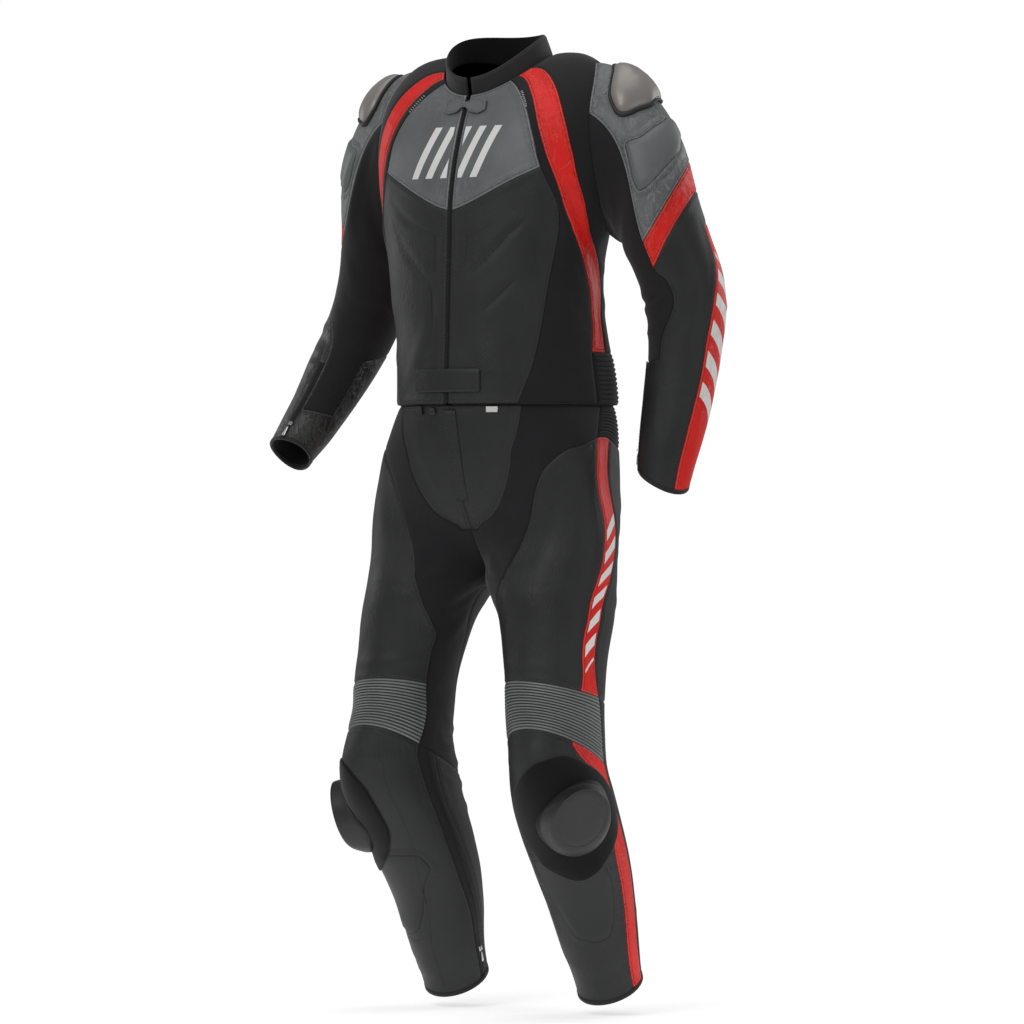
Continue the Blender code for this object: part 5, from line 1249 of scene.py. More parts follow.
def leg(name, side):
    grid = LEGS[name]
    panel(f"yoke_panel_{name}", f"yoke_{name}", [(grid, (0, 5), (0, 3))], "black_leather")
    panel(f"leg_stretch_{name}", f"leg_inner_{name}",
          [(grid, (0, 2), (3, 12)), (grid, (2, 14), (3, 6)), (grid, (5, 14), (0, 3)),
           (grid, (8, 14), (16, 19))], "stretch", STRETCH_THICK, 0.0)
    panel(f"thigh_panel_{name}", f"thigh_{name}", [(grid, (2, 12), (6, 12))], "black_leather")
    panel(f"thigh_stripe_panel_{name}", f"thigh_stripe_{name}", [(grid, (2, 12), (12, 13))],
          "red_thigh_leather")
    fine = Lattice(leg_surface, rib_lines(12, 14, KNEE_RIBS), lines(6, 13, (6, 12, 13)), side, -1)
    crest(fine, 12, 14, KNEE_RIBS)
    panel(f"knee_accordion_{name}", f"knee_ribs_{name}",
          [(fine, (12, 14), (6, 13), ribbed(12, 14, KNEE_RIBS))], "ribbed_leather", LEATHER_THICK, 0.0)
    panel(f"shin_panel_{name}", f"shin_{name}", [(grid, (14, 22), (6, 12))], "black_leather")
    panel(f"shin_stripe_panel_{name}", f"shin_stripe_{name}", [(grid, (14, 22), (12, 13))], "red_leather")
    panel(f"calf_panel_{name}", f"calf_{name}",
          [(grid, (12, 22), (13, 16)), (grid, (14, 22), (16, 19)), (grid, (14, 22), (0, 3))],
          "black_leather")
    panel(f"calf_zip_panel_{name}", f"calf_zip_{name}", [(grid, (14, 22), (3, 6))], "zip_cloth",
          STRETCH_THICK, 0.0)


jacket_body()
for name, _ in SIDES:
    sleeve(name)
trousers()


# Hard and small parts ----------------------------------------------------------------------------
def spots_on(surface, rows, columns, side, outward):
    """Points and outward directions of places on a surface."""
    rows, columns = np.broadcast_arrays(np.asarray(rows, float), np.asarray(columns, float))
    return surface(rows, columns) * (side, 1, 1), facing(surface, rows, columns, side, outward)


def closed_curve(corners, count):
    """A smooth closed line through corners."""
    corners = np.array(corners, float)
    at = np.linspace(0, len(corners), count, endpoint=False)
    k = at.astype(int)
    f = (at - k)[:, None]
    a, b, c, d = (corners[(k + step) % len(corners)] for step in (-1, 0, 1, 2))
    return 0.5 * (2 * b + (c - a) * f + (2 * a - 5 * b + 4 * c - d) * f ** 2
                  + (3 * b - a - 3 * c + d) * f ** 3)


def volume(points, faces):
    """Six times the space that faces enclose, below 0 where they face inward."""
    total = 0.0
    for face in faces:
        a = points[face[0]]
        for b, c in zip(face[1:-1], face[2:]):
            total += float(a @ np.cross(points[b], points[c]))
    return total


def solid(name, points, faces, finishes, body="suit", indices=None, node=None, smooth=True):
    """A closed part, its faces turned outward."""
    points = np.asarray(points, float)
    if volume(points - points.mean(axis=0), faces) < 0:
        faces = [tuple(reversed(face)) for face in faces]
    made = add_mesh(name, points, faces, finishes, body, smooth)
    store(made, "edge", "FLOAT", np.full(len(points), 0.02))
    store(made, "pad", "FLOAT", np.full(len(points), -0.03))
    if indices is not None:
        made.data.polygons.foreach_set("material_index", np.asarray(indices, np.int32))
    if node:
        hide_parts(node)
    return made


def rings_solid(name, rings, finishes, owners, body="suit", node=None):
    """A part of rings that start under its rim and end at its middle; owners gives the finish of
    the band after each ring."""
    count = len(rings[0])
    points = np.concatenate([*rings, rings[0].mean(axis=0)[None], rings[-1].mean(axis=0)[None]])
    faces, indices = [], []
    for r in range(len(rings) - 1):
        for k in range(count):
            m = (k + 1) % count
            faces.append((r * count + k, r * count + m, (r + 1) * count + m, (r + 1) * count + k))
            indices.append(owners[r])
    under, top = len(points) - 2, len(points) - 1
    last = (len(rings) - 1) * count
    for k in range(count):
        m = (k + 1) % count
        faces += [(under, m, k), (top, last + k, last + m)]
        indices += [owners[0], owners[-1]]
    return solid(name, points, faces, finishes, body, indices, node)


def extruded(spots, normals, widths, profile):
    """Points and faces of a bar along spots; its profile is a closed line of (share of the half
    width, height)."""
    spots, profile = np.asarray(spots, float), np.asarray(profile, float)
    across = unit(np.cross(np.gradient(spots, axis=0), normals))
    widths = np.broadcast_to(np.asarray(widths, float), len(spots))
    points = (spots[:, None] + across[:, None] * (widths[:, None] * profile[:, 0])[..., None]
              + np.asarray(normals)[:, None] * profile[:, 1][None, :, None]).reshape(-1, 3)
    n, m = len(spots), len(profile)
    faces = [(i * m + k, i * m + (k + 1) % m, (i + 1) * m + (k + 1) % m, (i + 1) * m + k)
             for i in range(n - 1) for k in range(m)]
    faces += [tuple(range(m)), tuple((n - 1) * m + k for k in reversed(range(m)))]
    return points, faces


def round_profile(thick, base=0.0, round_=0.35, edge=0.92):
    """A flat bar with rounded shoulders."""
    return [(-1, base), (1, base), (1, base + thick * (1 - round_)), (edge, base + thick * 0.97),
            (edge * 0.6, base + thick), (0, base + thick), (-edge * 0.6, base + thick),
            (-edge, base + thick * 0.97), (-1, base + thick * (1 - round_))]


class Bits:
    """Many small parts of one finish joined in one mesh."""

    def __init__(self):
        self.points, self.faces, self.count = [], [], 0

    def add(self, centres, ways, normals, shape, faces):
        """Copies of a small shape, whose points are (along, across, up) in metres."""
        ways = unit(ways - normals * (ways * normals).sum(-1, keepdims=True))
        across = np.cross(normals, ways)
        shape = np.asarray(shape, float)
        points = (centres[:, None] + ways[:, None] * shape[None, :, :1]
                  + across[:, None] * shape[None, :, 1:2] + normals[:, None] * shape[None, :, 2:])
        for k in range(len(centres)):
            start = self.count + k * len(shape)
            self.faces += [tuple(start + i for i in face) for face in faces]
        self.points.append(points.reshape(-1, 3))
        self.count += len(centres) * len(shape)

    def make(self, name, finish, smooth=False, body="suit"):
        if self.points:
            return add_mesh(name, np.concatenate(self.points), self.faces, (finish,), body, smooth)


def block_shape(long_, wide, tall, base=0.0, narrow=0.8):
    """A small block, narrower on top, without an underside."""
    a, b = long_ / 2, wide / 2
    low = [(-a, -b, base), (a, -b, base), (a, b, base), (-a, b, base)]
    high = [(x * narrow, y * narrow, base + tall) for x, y, _ in low]
    return low + high, [(4, 5, 6, 7), (0, 1, 5, 4), (1, 2, 6, 5), (2, 3, 7, 6), (3, 0, 4, 7)]


def thread_shape(long_, wide, tall):
    """A stitch: a low roof over its thread."""
    a, b = long_ / 2, wide / 2
    points = [(-a, -b, -0.0003), (a, -b, -0.0003), (a, b, -0.0003), (-a, b, -0.0003),
              (-a * 0.55, 0, tall), (a * 0.55, 0, tall)]
    return points, [(0, 1, 5, 4), (2, 3, 4, 5), (1, 2, 5), (3, 0, 4)]


def along(points, pitch):
    """Places and directions at an even pitch along a line."""
    steps = np.linalg.norm(np.diff(points, axis=0), axis=1)
    run = np.concatenate(((0,), np.cumsum(steps)))
    at = np.arange(pitch / 2, run[-1], pitch)
    place = np.stack([np.interp(at, run, points[:, k]) for k in range(3)], -1)
    ahead = np.stack([np.interp(at + pitch / 3, run, points[:, k]) for k in range(3)], -1)
    behind = np.stack([np.interp(at - pitch / 3, run, points[:, k]) for k in range(3)], -1)
    return place, ahead - behind


# Collar, waistband, fly, front zip and tabs -------------------------------------------------------
COLLAR_FOOT, COLLAR_LEAN, COLLAR_SEAT, COLLAR_AHEAD, COLLAR_GAP = 0.962, 0.89, 0.006, 0.012, 3
COLLAR_THICK = 0.0030


def collar_surface(row, column):
    """The stand collar, row 0 at its foot and 3 at its rim, column 0 to 26 round it."""
    turn = np.radians(COLLAR_GAP + (360 - 2 * COLLAR_GAP) * column / 26)
    foot = neck_point(turn, COLLAR_FOOT) - (0, 0, COLLAR_SEAT)
    rim = neck_point(turn, COLLAR_LEAN) - (0, COLLAR_AHEAD, 0)
    rim[..., 2] = 0.021 - 0.036 * np.cos(turn) + 0.022 * np.sin(turn) ** 2
    f = (np.asarray(row, float) / 3)[..., None]
    return foot * (1 - f) + rim * f


def waist_surface(row, column):
    """The waistband's left half: row 0 on the trousers' edge, rows 1 and 2 inside the jacket."""
    hem = np.where((column <= 10)[..., None], body_front(0 * column, column), body_back(0 * column, column))
    foot = leg_level(WAIST_Z, np.arctan2(np.abs(hem[..., 0]), -hem[..., 1]) / math.pi) + (0, 0, 0.0003)
    rings = [foot]
    for height, out in ((0.35, -0.0026), (1.0, -0.0045)):
        place = []
        for surface, outer in ((body_front, column <= 10), (body_back, column > 10)):
            normal = facing(surface, np.full(column.shape, height), column, 1, 1)
            place.append((surface(np.full(column.shape, height), column) + normal * out, outer))
        rings.append(np.where(place[0][1][..., None], place[0][0], place[1][0]))
    f = np.asarray(row, float)[..., None]
    return np.where(f <= 1, rings[0] + f * (rings[1] - rings[0]), rings[1] + (f - 1) * (rings[2] - rings[1]))


def front_line(height):
    """Points and directions on the middle of the jacket's front."""
    height = np.asarray(height, float)
    ahead = body_surface(height + 0.01, 0.0) - body_surface(height - 0.01, 0.0)
    return body_surface(height, 0.0), unit(stacked(0, -ahead[..., 2], ahead[..., 1]))


TABS = {
    # height, reach, wrap, half width, droop, tilt, thick, lift, finish
    "hem_tab": (0.137, 0.046, 0.150, 0.0175, 0.0, 0.0, 0.0026, 0.0011, "black_leather"),
    "neck_tab": (1.900, 0.031, 0.085, 0.0092, 0.28, 0.42, 0.0024, 0.0034, "grey_leather"),
}


def tab(name, threads):
    """A tab across the front zip: a plain padded band, or a bow of two stitched lobes."""
    height, reach, wrap, half, droop, tilt, thick, lift, finish = TABS[name]
    share = np.linspace(-1, 1, 49)
    turn = share * reach / wrap
    normals = unit(stacked(np.sin(turn), -np.cos(turn), tilt))
    spots = body_surface(height - droop * np.abs(turn) ** 1.5, turn)
    size = np.abs(share)
    if name == "neck_tab":
        widths = half * np.interp(size, (0, 0.14, 0.36, 0.72, 0.93, 1), (0.46, 0.50, 1.18, 1.45, 1.05, 0.80))
    else:
        widths = half * np.interp(size, (0, 0.975, 1), (1, 1, 0.88))
    points, faces = extruded(spots, normals, widths, round_profile(thick, lift, 0.45, 0.93))
    solid(f"{name}_cover", points, faces, (finish,), node=name)
    across = unit(np.cross(np.gradient(spots, axis=0), normals))
    inset = 0.0030
    top = normals * (lift + thick)
    wide = np.maximum(widths - inset, 0.002)[:, None]
    inner = (size < 1 - inset / reach)
    lines_ = [(spots + across * wide * way + top)[inner] for way in (1, -1)]
    ends = [np.linspace(lines_[0][k], lines_[1][k], 6) for k in (0, -1)]
    for line in lines_ + ends:
        centre, ways = along(line, 0.0030)
        threads.add(centre, ways, np.tile(normals[24], (len(centre), 1)),
                    *thread_shape(0.0022, 0.0008, 0.0005))


def jacket_front(threads):
    rows = np.linspace(0, 3, 3 * FINE + 1)
    collar = Lattice(collar_surface, rows, lines(0, 26, (0, 26)), 1)
    panel("collar_shell", "collar", [(collar, (0, 3), (0, 26))], "collar_cloth", COLLAR_THICK, 0.0,
          lining="lining")
    blocks = []
    for _, side in SIDES:
        band = Lattice(waist_surface, np.linspace(0, 2, 9), lines(0, 16, (10,)), side)
        band.lift[:] = 0
        band.normals[:, (0, -1), 0] = 0
        blocks.append((band, (0, 2), (0, 16)))
    panel("waistband_shell", "waistband", blocks, "stretch", STRETCH_THICK, 0.0)
    height = np.linspace(0.002, 1.957, 90)
    spots, normals = front_line(height)
    points, faces = extruded(spots, normals, TAPE_HALF,
                             [(-1, -0.0022), (1, -0.0022), (1, -0.0010), (0.35, -0.0008), (0.3, 0.0002),
                              (-0.3, 0.0002), (-0.35, -0.0008), (-1, -0.0010)])
    solid("front_zip_tape", points, faces, ("zip_cloth",), node="front_zip", smooth=False)
    teeth = Bits()
    place, ways = along(spots, 0.0026)
    near = np.interp(place[:, 2], spots[:, 2], np.arange(len(spots))).round().astype(int)
    side_step = np.where(np.arange(len(place)) % 2, 1, -1)[:, None] * np.array((0.0009, 0, 0))
    teeth.add(place + side_step, ways, normals[near], *block_shape(0.0016, 0.0032, 0.0012, 0.0, 0.7))
    teeth.make("front_zip_teeth", "dark_metal")
    tab("hem_tab", threads)
    tab("neck_tab", threads)
    z = np.linspace(-0.516, -0.652, 25)
    spots = leg_level(z, np.zeros(25))
    normals = np.tile(unit(np.array((0, -0.96, -0.28))), (25, 1))
    points, faces = extruded(spots, normals, 0.011, round_profile(0.0018, 0.0001, 0.5, 0.9))
    made = solid("fly_cover", points, faces, ("black_leather",), node="fly")
    store(made, "edge", "FLOAT", np.full(len(points), 0.004))
    for aside in (-0.0085, 0.0085):
        centre, ways = along(spots + normals * 0.0019 + (aside, 0, 0), 0.0030)
        threads.add(centre, ways, np.tile(normals[0], (len(centre), 1)),
                    *thread_shape(0.0022, 0.0007, 0.0004))


# Zips, pulls, cups, patches and sliders ------------------------------------------------------------
CUFF_COLUMN = {"left": 6.5, "right": 3.5}
PULL_SHAPE = ((0.0, 0.30), (0.04, 0.52), (0.22, 0.60), (0.62, 0.80), (0.85, 1.0), (0.95, 0.92), (1.0, 0.62))


def pull(name, surface, row, column, side, outward, lift):
    """A zip's pull tab, a thin plate with rounded ends, that hangs from its slider."""
    point, normal = (v[0] for v in spots_on(surface, [row], [column], side, outward))
    way = spots_on(surface, [row + 0.5], [column], side, outward)[0][0] - point
    way = unit(way - normal * (way @ normal))
    shares, widths = np.array(PULL_SHAPE).T
    spots = point + way * 0.016 * shares[:, None]
    points, faces = extruded(spots, np.tile(normal, (len(spots), 1)), widths * 0.0030,
                             [(-1, lift), (1, lift), (1, lift + 0.0008), (0.8, lift + 0.0012),
                              (-0.8, lift + 0.0012), (-1, lift + 0.0008)])
    solid(f"{name}_plate", points, faces, ("bare_metal",), body=name, node=name)
    return point, way, normal


def zip_line(name, node, surface, rows, column, side, outward, half, tapes, teeth):
    """A zip's tape along a column, and its teeth."""
    row = np.linspace(*rows, 50)
    spots, normals = spots_on(surface, row, np.full(50, column), side, outward)
    if tapes:
        points, faces = extruded(spots, normals, half,
                                 [(-1, 0.0001), (1, 0.0001), (1, 0.0014), (0.4, 0.0016), (0.36, 0.0022),
                                  (-0.36, 0.0022), (-0.4, 0.0016), (-1, 0.0014)])
        solid(name, points, faces, ("zip_cloth",), node=node, smooth=False)
    base = 0.0020 if tapes else 0.0008
    place, ways = along(spots + normals * base, 0.0022)
    near = np.clip((np.arange(len(place)) / len(place) * 50).astype(int), 0, 49)
    across = unit(np.cross(ways, normals[near]))
    place = place + across * np.where(np.arange(len(place)) % 2, 0.0007, -0.0007)[:, None]
    teeth.add(place, ways, normals[near], *block_shape(0.0014, 0.0026, 0.0009, -0.0003, 0.7))


def zip_slider(point, way, normal, lift, metal):
    """The slider that a pull tab hangs from."""
    centre = (point - way * 0.0062 + normal * (lift - 0.0003))[None]
    metal.add(centre, way[None], normal[None], *block_shape(0.0080, 0.0068, 0.0018, -0.0012, 0.82))
    metal.add(centre + normal * 0.0018, way[None], normal[None],
              *block_shape(0.0040, 0.0022, 0.0012, -0.0004, 0.6))


CUP_MIDDLE = (1.75, 0.2)
CUP_EDGE = ((-1.00, 0.13), (-1.02, 1.38), (-0.92, 2.25), (-0.42, 2.68), (0.12, 2.30), (0.75, 1.30),
            (1.25, 0.30), (1.33, -0.95), (0.85, -2.20), (0.00, -2.60), (-0.80, -2.10), (-1.08, -1.00))
CUP_RINGS = ((1.0, 0.0002, 0), (1.0, 0.0022, 0), (0.99, 0.0040, 0), (0.97, 0.0052, 0), (0.94, 0.0055, 0),
             (0.915, 0.0050, 0), (0.90, 0.0036, 0), (0.895, 0.0034, 1), (0.885, 0.0050, 1),
             (0.86, 0.0066, 1), (0.80, 0.0086, 1), (0.72, 0.0106, 1), (0.62, 0.0122, 1), (0.52, 0.0135, 1),
             (0.40, 0.0146, 1), (0.26, 0.0155, 1), (0.12, 0.0159, 1))


def shoulder_cup(name, side):
    """The shoulder plate in its rubber rim."""
    surface = sleeve_surface(name)
    middle = np.array(CUP_MIDDLE)
    edge = closed_curve(CUP_EDGE, 96)
    rings = []
    for share, height, _ in CUP_RINGS:
        spots = middle + share * edge
        points, normals = spots_on(surface, spots[:, 0], spots[:, 1], side, 1)
        rings.append(points + normals * height)
    rings_solid(f"shoulder_plate_{name}", rings, ("plate", "rubber"), [1 - o for *_, o in CUP_RINGS],
                node=f"shoulder_cup_{name}")


PATCH_EDGE = ((16.83, 7.4), (15.83, 7.4), (15.33, 8.0), (15.0, 8.92), (14.75, 10.1), (14.5, 11.4),
              (14.6, 12.2), (15.2, 12.7), (16.0, 12.55), (16.75, 12.15), (17.3, 11.65), (17.75, 10.9),
              (18.0, 10.0), (17.85, 9.1), (17.45, 8.1))
PATCH_RINGS = ((1.0, 0.0002), (1.0, 0.0022), (0.985, 0.0030), (0.96, 0.0033), (0.85, 0.0033), (0.7, 0.0033),
               (0.5, 0.0033), (0.3, 0.0033), (0.12, 0.0033))
GUARD_SHIFT = {"left": 0.0, "right": 0.85}
SLIDER_MIDDLE, SLIDER_REACH, SLIDER_HIGH = (16.35, 10.3), (0.055, 0.060), 0.66
SLIDER_FACE = {"left": (0.002, -0.016), "right": (0.016, -0.008)}
FACE_SHARE = 0.735
SLIDER_TALL, SLIDER_SLOPE = 0.6, 3.0
SLIDER_RINGS = ((1.0, 0.0), (0.998, 0.002), (0.99, 0.0045), (0.975, 0.0075), (0.95, 0.0110), (0.92, 0.0145),
                (0.885, 0.0178), (0.85, 0.0204), (0.815, 0.0225), (0.785, 0.0240), (0.76, 0.0249),
                (0.735, 0.0254), (0.71, 0.0256), (0.695, 0.0249), (0.675, 0.0248), (0.66, 0.0257),
                (0.42, 0.0260), (0.2, 0.0261))


def settle(surface, start, targets, aside, down, side):
    """Rows and columns of the points that lie at places in the plane of aside and down."""
    spot = np.tile(np.array(start, float), (len(targets), 1))
    middle = surface(*(np.array([v], float) for v in start))[0] * (side, 1, 1)

    def plane(at):
        offset = surface(at[:, 0], at[:, 1]) * (side, 1, 1) - middle
        return np.stack((offset @ aside, offset @ down), -1)

    for _ in range(14):
        here = plane(spot)
        slope = np.stack([(plane(spot + d) - here) / 0.05 for d in ((0.05, 0), (0, 0.05))], -1)
        spot = spot + 0.7 * np.linalg.solve(slope, (targets - here)[..., None])[..., 0]
    return spot


def skin(*names):
    """The outer faces of some panels, to lay small parts on."""
    points, faces, count = [], [], 0
    for name in names:
        outer, quads, *_ = PANELS[name]
        points += outer.tolist()
        faces += [[k + count for k in dedupe(face)] for face in quads.tolist()]
        count += len(outer)
    return BVHTree.FromPolygons(points, faces)


def laid(tree, points, normals):
    """Points moved in along their normals to the first face they meet; unmet ones stay."""
    met = [tree.ray_cast(Vector(p + 0.02 * n), Vector(-n), 0.04)[0] for p, n in zip(points, normals)]
    return np.array([p if spot is None else spot[:] for p, spot in zip(points, met)])


def knee_guard(name, side):
    """The hook patch on the shin, and the slider on it."""
    count = 96
    shift = GUARD_SHIFT[name]
    edge = closed_curve([(r, c + shift) for r, c in PATCH_EDGE], count)
    middle = edge.mean(axis=0)
    tree = skin(*(f"{part}_panel_{name}" for part in ("shin", "shin_stripe", "calf")),
                f"knee_accordion_{name}")
    rings = []
    for share, height in PATCH_RINGS:
        spots = middle + share * (edge - middle)
        points, normals = spots_on(leg_surface, spots[:, 0], spots[:, 1], side, -1)
        rings.append(laid(tree, points, normals) + normals * height)
    rings_solid(f"hook_patch_{name}", rings, ("hook_cloth",), [0] * len(rings), node=f"knee_patch_{name}")
    start = (SLIDER_MIDDLE[0], SLIDER_MIDDLE[1] + shift)
    point, out = (v[0] for v in spots_on(leg_surface, [start[0]], [start[1]], side, -1))
    down = unit(out * out[2] - np.array((0, 0, 1)))
    aside = np.cross(down, out) * side
    turn = np.linspace(0, 2 * math.pi, count, endpoint=False)
    targets = np.stack((SLIDER_REACH[0] * np.cos(turn), SLIDER_REACH[1] * np.sin(turn)), -1)
    spots = settle(leg_surface, start, targets, aside, down, side)
    edge = leg_surface(spots[:, 0], spots[:, 1]) * (side, 1, 1) - point
    across, along_, below = edge @ aside, edge @ down, edge @ out
    rings = []
    for share, height in SLIDER_RINGS:
        moved = min((1 - share) / (1 - FACE_SHARE), 1)
        rise = 0.0034 + SLIDER_HIGH * height + below * max(share - 0.84, 0) * SLIDER_SLOPE
        rings.append(point + np.outer(across * share + SLIDER_FACE[name][0] * moved, aside)
                     + np.outer(along_ * (1 - (1 - share) * SLIDER_TALL) + SLIDER_FACE[name][1] * moved, down)
                     + rise[:, None] * out)
    base = spots_on(leg_surface, spots[:, 0], spots[:, 1], side, -1)
    rings.insert(0, base[0] + base[1] * 0.0034)
    rings_solid(f"knee_puck_{name}", rings, ("slider_plastic",), [0] * len(rings), node=f"knee_slider_{name}")


def small_parts():
    """Zips, pulls, shoulder plates and knee guards of both sides."""
    teeth, metal = Bits(), Bits()
    for name, side in SIDES:
        arm = sleeve_surface(name)
        column = CUFF_COLUMN[name]
        zip_line(f"cuff_zip_tape_{name}", f"cuff_zip_{name}", arm, (12, 17), column, side, 1, 0.0045, True,
                 teeth)
        where = pull(f"cuff_pull_{name}", arm, 17 - 0.75, column, side, 1, 0.0024)
        zip_slider(*where, 0.0022, metal)
        zip_line("", None, leg_surface, (14, 22), 4.5, side, -1, 0.0, False, teeth)
        where = pull(f"calf_pull_{name}", leg_surface, 22 - 0.9, 4.5, side, -1, 0.0006)
        zip_slider(*where, 0.0010, metal)
        shoulder_cup(name, side)
        knee_guard(name, side)
    teeth.make("zip_teeth", "dark_metal")
    metal.make("zip_sliders", "bare_metal")


# Stitching -----------------------------------------------------------------------------------------
STITCH_PITCH, STITCH_IN = 0.0034, 0.0040
STITCHED = ("chest_panel", "front_panel", "stripe_panel", "back_panel", "shoulder_panel", "arm_band_panel",
            "forearm_panel", "forearm_stripe_panel", "yoke_panel", "thigh_panel", "thigh_stripe_panel",
            "seat_panel", "shin_panel", "shin_stripe_panel", "calf_panel", "collar_shell")


def stitch_rows(threads):
    """A row of stitches beside the seams of each leather panel."""
    for name, (points, faces, after, ways) in PANELS.items():
        if not name.startswith(STITCHED):
            continue
        tree = BVHTree.FromPolygons(points.tolist(), [dedupe(f) for f in faces.tolist()])
        border = np.array(list(after.items()))
        for loop in loops(after):
            if len(loop) < 8:
                continue
            line = np.array([points[k] + ways[k] * STITCH_IN for k in loop + loop[:2]])
            centre, way = along(line, STITCH_PITCH)
            near, normal = [], []
            for spot in centre:
                hit = tree.find_nearest(Vector(spot))
                near.append(hit[0])
                normal.append(hit[1])
            near, normal = np.array(near), np.array(normal)
            gap = edge_distance_of(near, points, border)
            keep = gap > 0.85 * (STITCH_IN - SEAM_GAP)
            threads.add(near[keep], way[keep], normal[keep], *thread_shape(0.0024, 0.0008, 0.00045))


def edge_distance_of(spots, points, border):
    """How far places are from the nearest border edge."""
    ends, others = points[border[:, 0]], points[border[:, 1]]
    way = others - ends
    length = np.maximum((way * way).sum(1), 1e-14)
    near = []
    for start in range(0, len(spots), 400):
        some = spots[start:start + 400, None]
        f = np.clip(((some - ends) * way).sum(2) / length, 0, 1)
        near.append(np.linalg.norm(some - ends - f[..., None] * way, axis=2).min(1))
    return np.concatenate(near) if near else np.zeros(0)


CHEST_BARS, BAR_WIDE, BAR_TALL, BAR_PITCH, BAR_LEAN = 5, 0.0125, 0.078, 0.0270, 0.40
BAR_Z, BAR_CLEAR = -0.128, 0.0100       # height of the bars' middle, and their distance from the zip's


def chest_bars():
    """Five plain slanted bars in a band across the chest, parted by the zip."""
    tree = skin("chest_panel_left", "chest_panel_right")
    points, faces = [], []
    across, up = 6, 26
    for bar in range(CHEST_BARS):
        middle = (bar - (CHEST_BARS - 1) / 2) * BAR_PITCH
        height = np.linspace(-0.5, 0.5, up)[:, None]
        x = middle + np.linspace(-0.5, 0.5, across)[None] * BAR_WIDE + height * BAR_TALL * BAR_LEAN
        z = np.broadcast_to(BAR_Z + height * BAR_TALL, x.shape)
        for way in (1, -1):
            held = way * np.maximum(way * x, BAR_CLEAR)
            starts = np.stack((held, np.full(x.shape, -1.0), z), -1).reshape(-1, 3)
            hits = [tree.ray_cast(Vector(start), Vector((0, 1, 0))) for start in starts]
            first = len(points)
            points += [np.array(place) + 0.00025 * np.array(normal) for place, normal, *_ in hits]
            for i in range(up - 1):
                if np.ptp(held[i]) < 1e-6 and np.ptp(held[i + 1]) < 1e-6:
                    continue
                for k in range(first + i * across, first + (i + 1) * across - 1):
                    faces.append((k, k + 1, k + across + 1, k + across))
    add_mesh("chest_bars", points, faces, ("white_print",))


SHIN_SEAMS = (
    ((14.2, 8.4), (14.92, 7.5), (16.25, 7.4), (17.08, 7.5), (18.33, 8.0), (19.67, 8.42), (20.42, 8.72),
     (21.7, 8.75)),
    ((20.17, 11.0), (20.25, 9.92), (20.08, 8.6)))
PRESSED = {
    # surface, side, outward, then the lines' rows and columns
    "front_panel_right": (body_front, -1, 1, (
        ((7.8, 3.0), (6.95, 1.5), (6.3, 0.50), (6.1, 0.42), (4.8, 0.42)),
        ((7.1, 2.9), (6.0, 2.33), (5.2, 1.5), (4.35, 0.67), (4.1, 0.60), (2.9, 0.58)))),
    "front_panel_left": (body_front, 1, 1, (
        ((6.75, 2.58), (5.7, 1.7), (4.7, 0.75)), ((4.5, 2.5), (3.9, 1.85), (3.35, 1.25)),
        ((6.9, 1.4), (6.0, 0.55), (4.9, 0.5)))),
    "shin_panel_right": (leg_surface, -1, -1, SHIN_SEAMS),
}


def pressed_line_shadows():
    """Narrow near-black strips of painted shadow laid along the lines pressed and sewn into the leather."""
    points, faces = [], []
    for name, (surface, side, outward, ways) in PRESSED.items():
        tree = skin(name)
        for way in ways:
            way = np.array(way)
            share = np.linspace(0, len(way) - 1, 16 * len(way))
            rows, columns = (np.interp(share, np.arange(len(way)), way[:, k]) for k in (0, 1))
            spots, normals = spots_on(surface, rows, columns, side, outward)
            met = [tree.find_nearest(Vector(spot)) for spot in spots + 0.003 * normals]
            spots = np.array([place[:] for place, *_ in met])
            aside = unit(np.cross(np.gradient(spots, axis=0), normals))
            wide = 0.0011 * np.sqrt(np.sin(math.pi * np.linspace(0.04, 0.96, len(spots))))[:, None]
            first = len(points)
            for k, spot in enumerate(spots):
                points += [spot + aside[k] * wide[k] * n + normals[k] * 0.0002 for n in (-1, 1)]
            faces += [(first + 2 * k, first + 2 * k + 1, first + 2 * k + 3, first + 2 * k + 2)
                      for k in range(len(spots) - 1)]
    add_mesh("pressed_line_shadows", points, faces, ("pressed_line_shadow",))


def binding(name, surface, rows, columns, side, outward, reach):
    """A folded strip of cloth round an open end."""
    columns = np.linspace(*columns, 110, endpoint=False)
    inside, edge = (spots_on(surface, np.full(columns.shape, row), columns, side, outward) for row in rows)
    ahead = unit(edge[0] - inside[0])
    loop = [inside[0] + inside[1] * 0.0003, inside[0] + inside[1] * 0.0012, edge[0] + edge[1] * 0.0016,
            edge[0] + edge[1] * 0.0010 + ahead * reach, edge[0] - edge[1] * 0.0012 + ahead * (reach + 0.0003),
            edge[0] - edge[1] * 0.0026, inside[0] - inside[1] * 0.0027, inside[0] - inside[1] * 0.0019]
    points = np.stack(loop, 1).reshape(-1, 3)
    m, n = len(loop), len(columns)
    faces = [(i * m + k, i * m + (k + 1) % m, (i + 1) % n * m + (k + 1) % m, (i + 1) % n * m + k)
             for i in range(n) for k in range(m)]
    made = solid(name, points, faces, ("collar_cloth",))
    store(made, "edge", "FLOAT", np.full(len(points), 0.01))
    store(made, "pad", "FLOAT", np.full(len(points), -0.03))


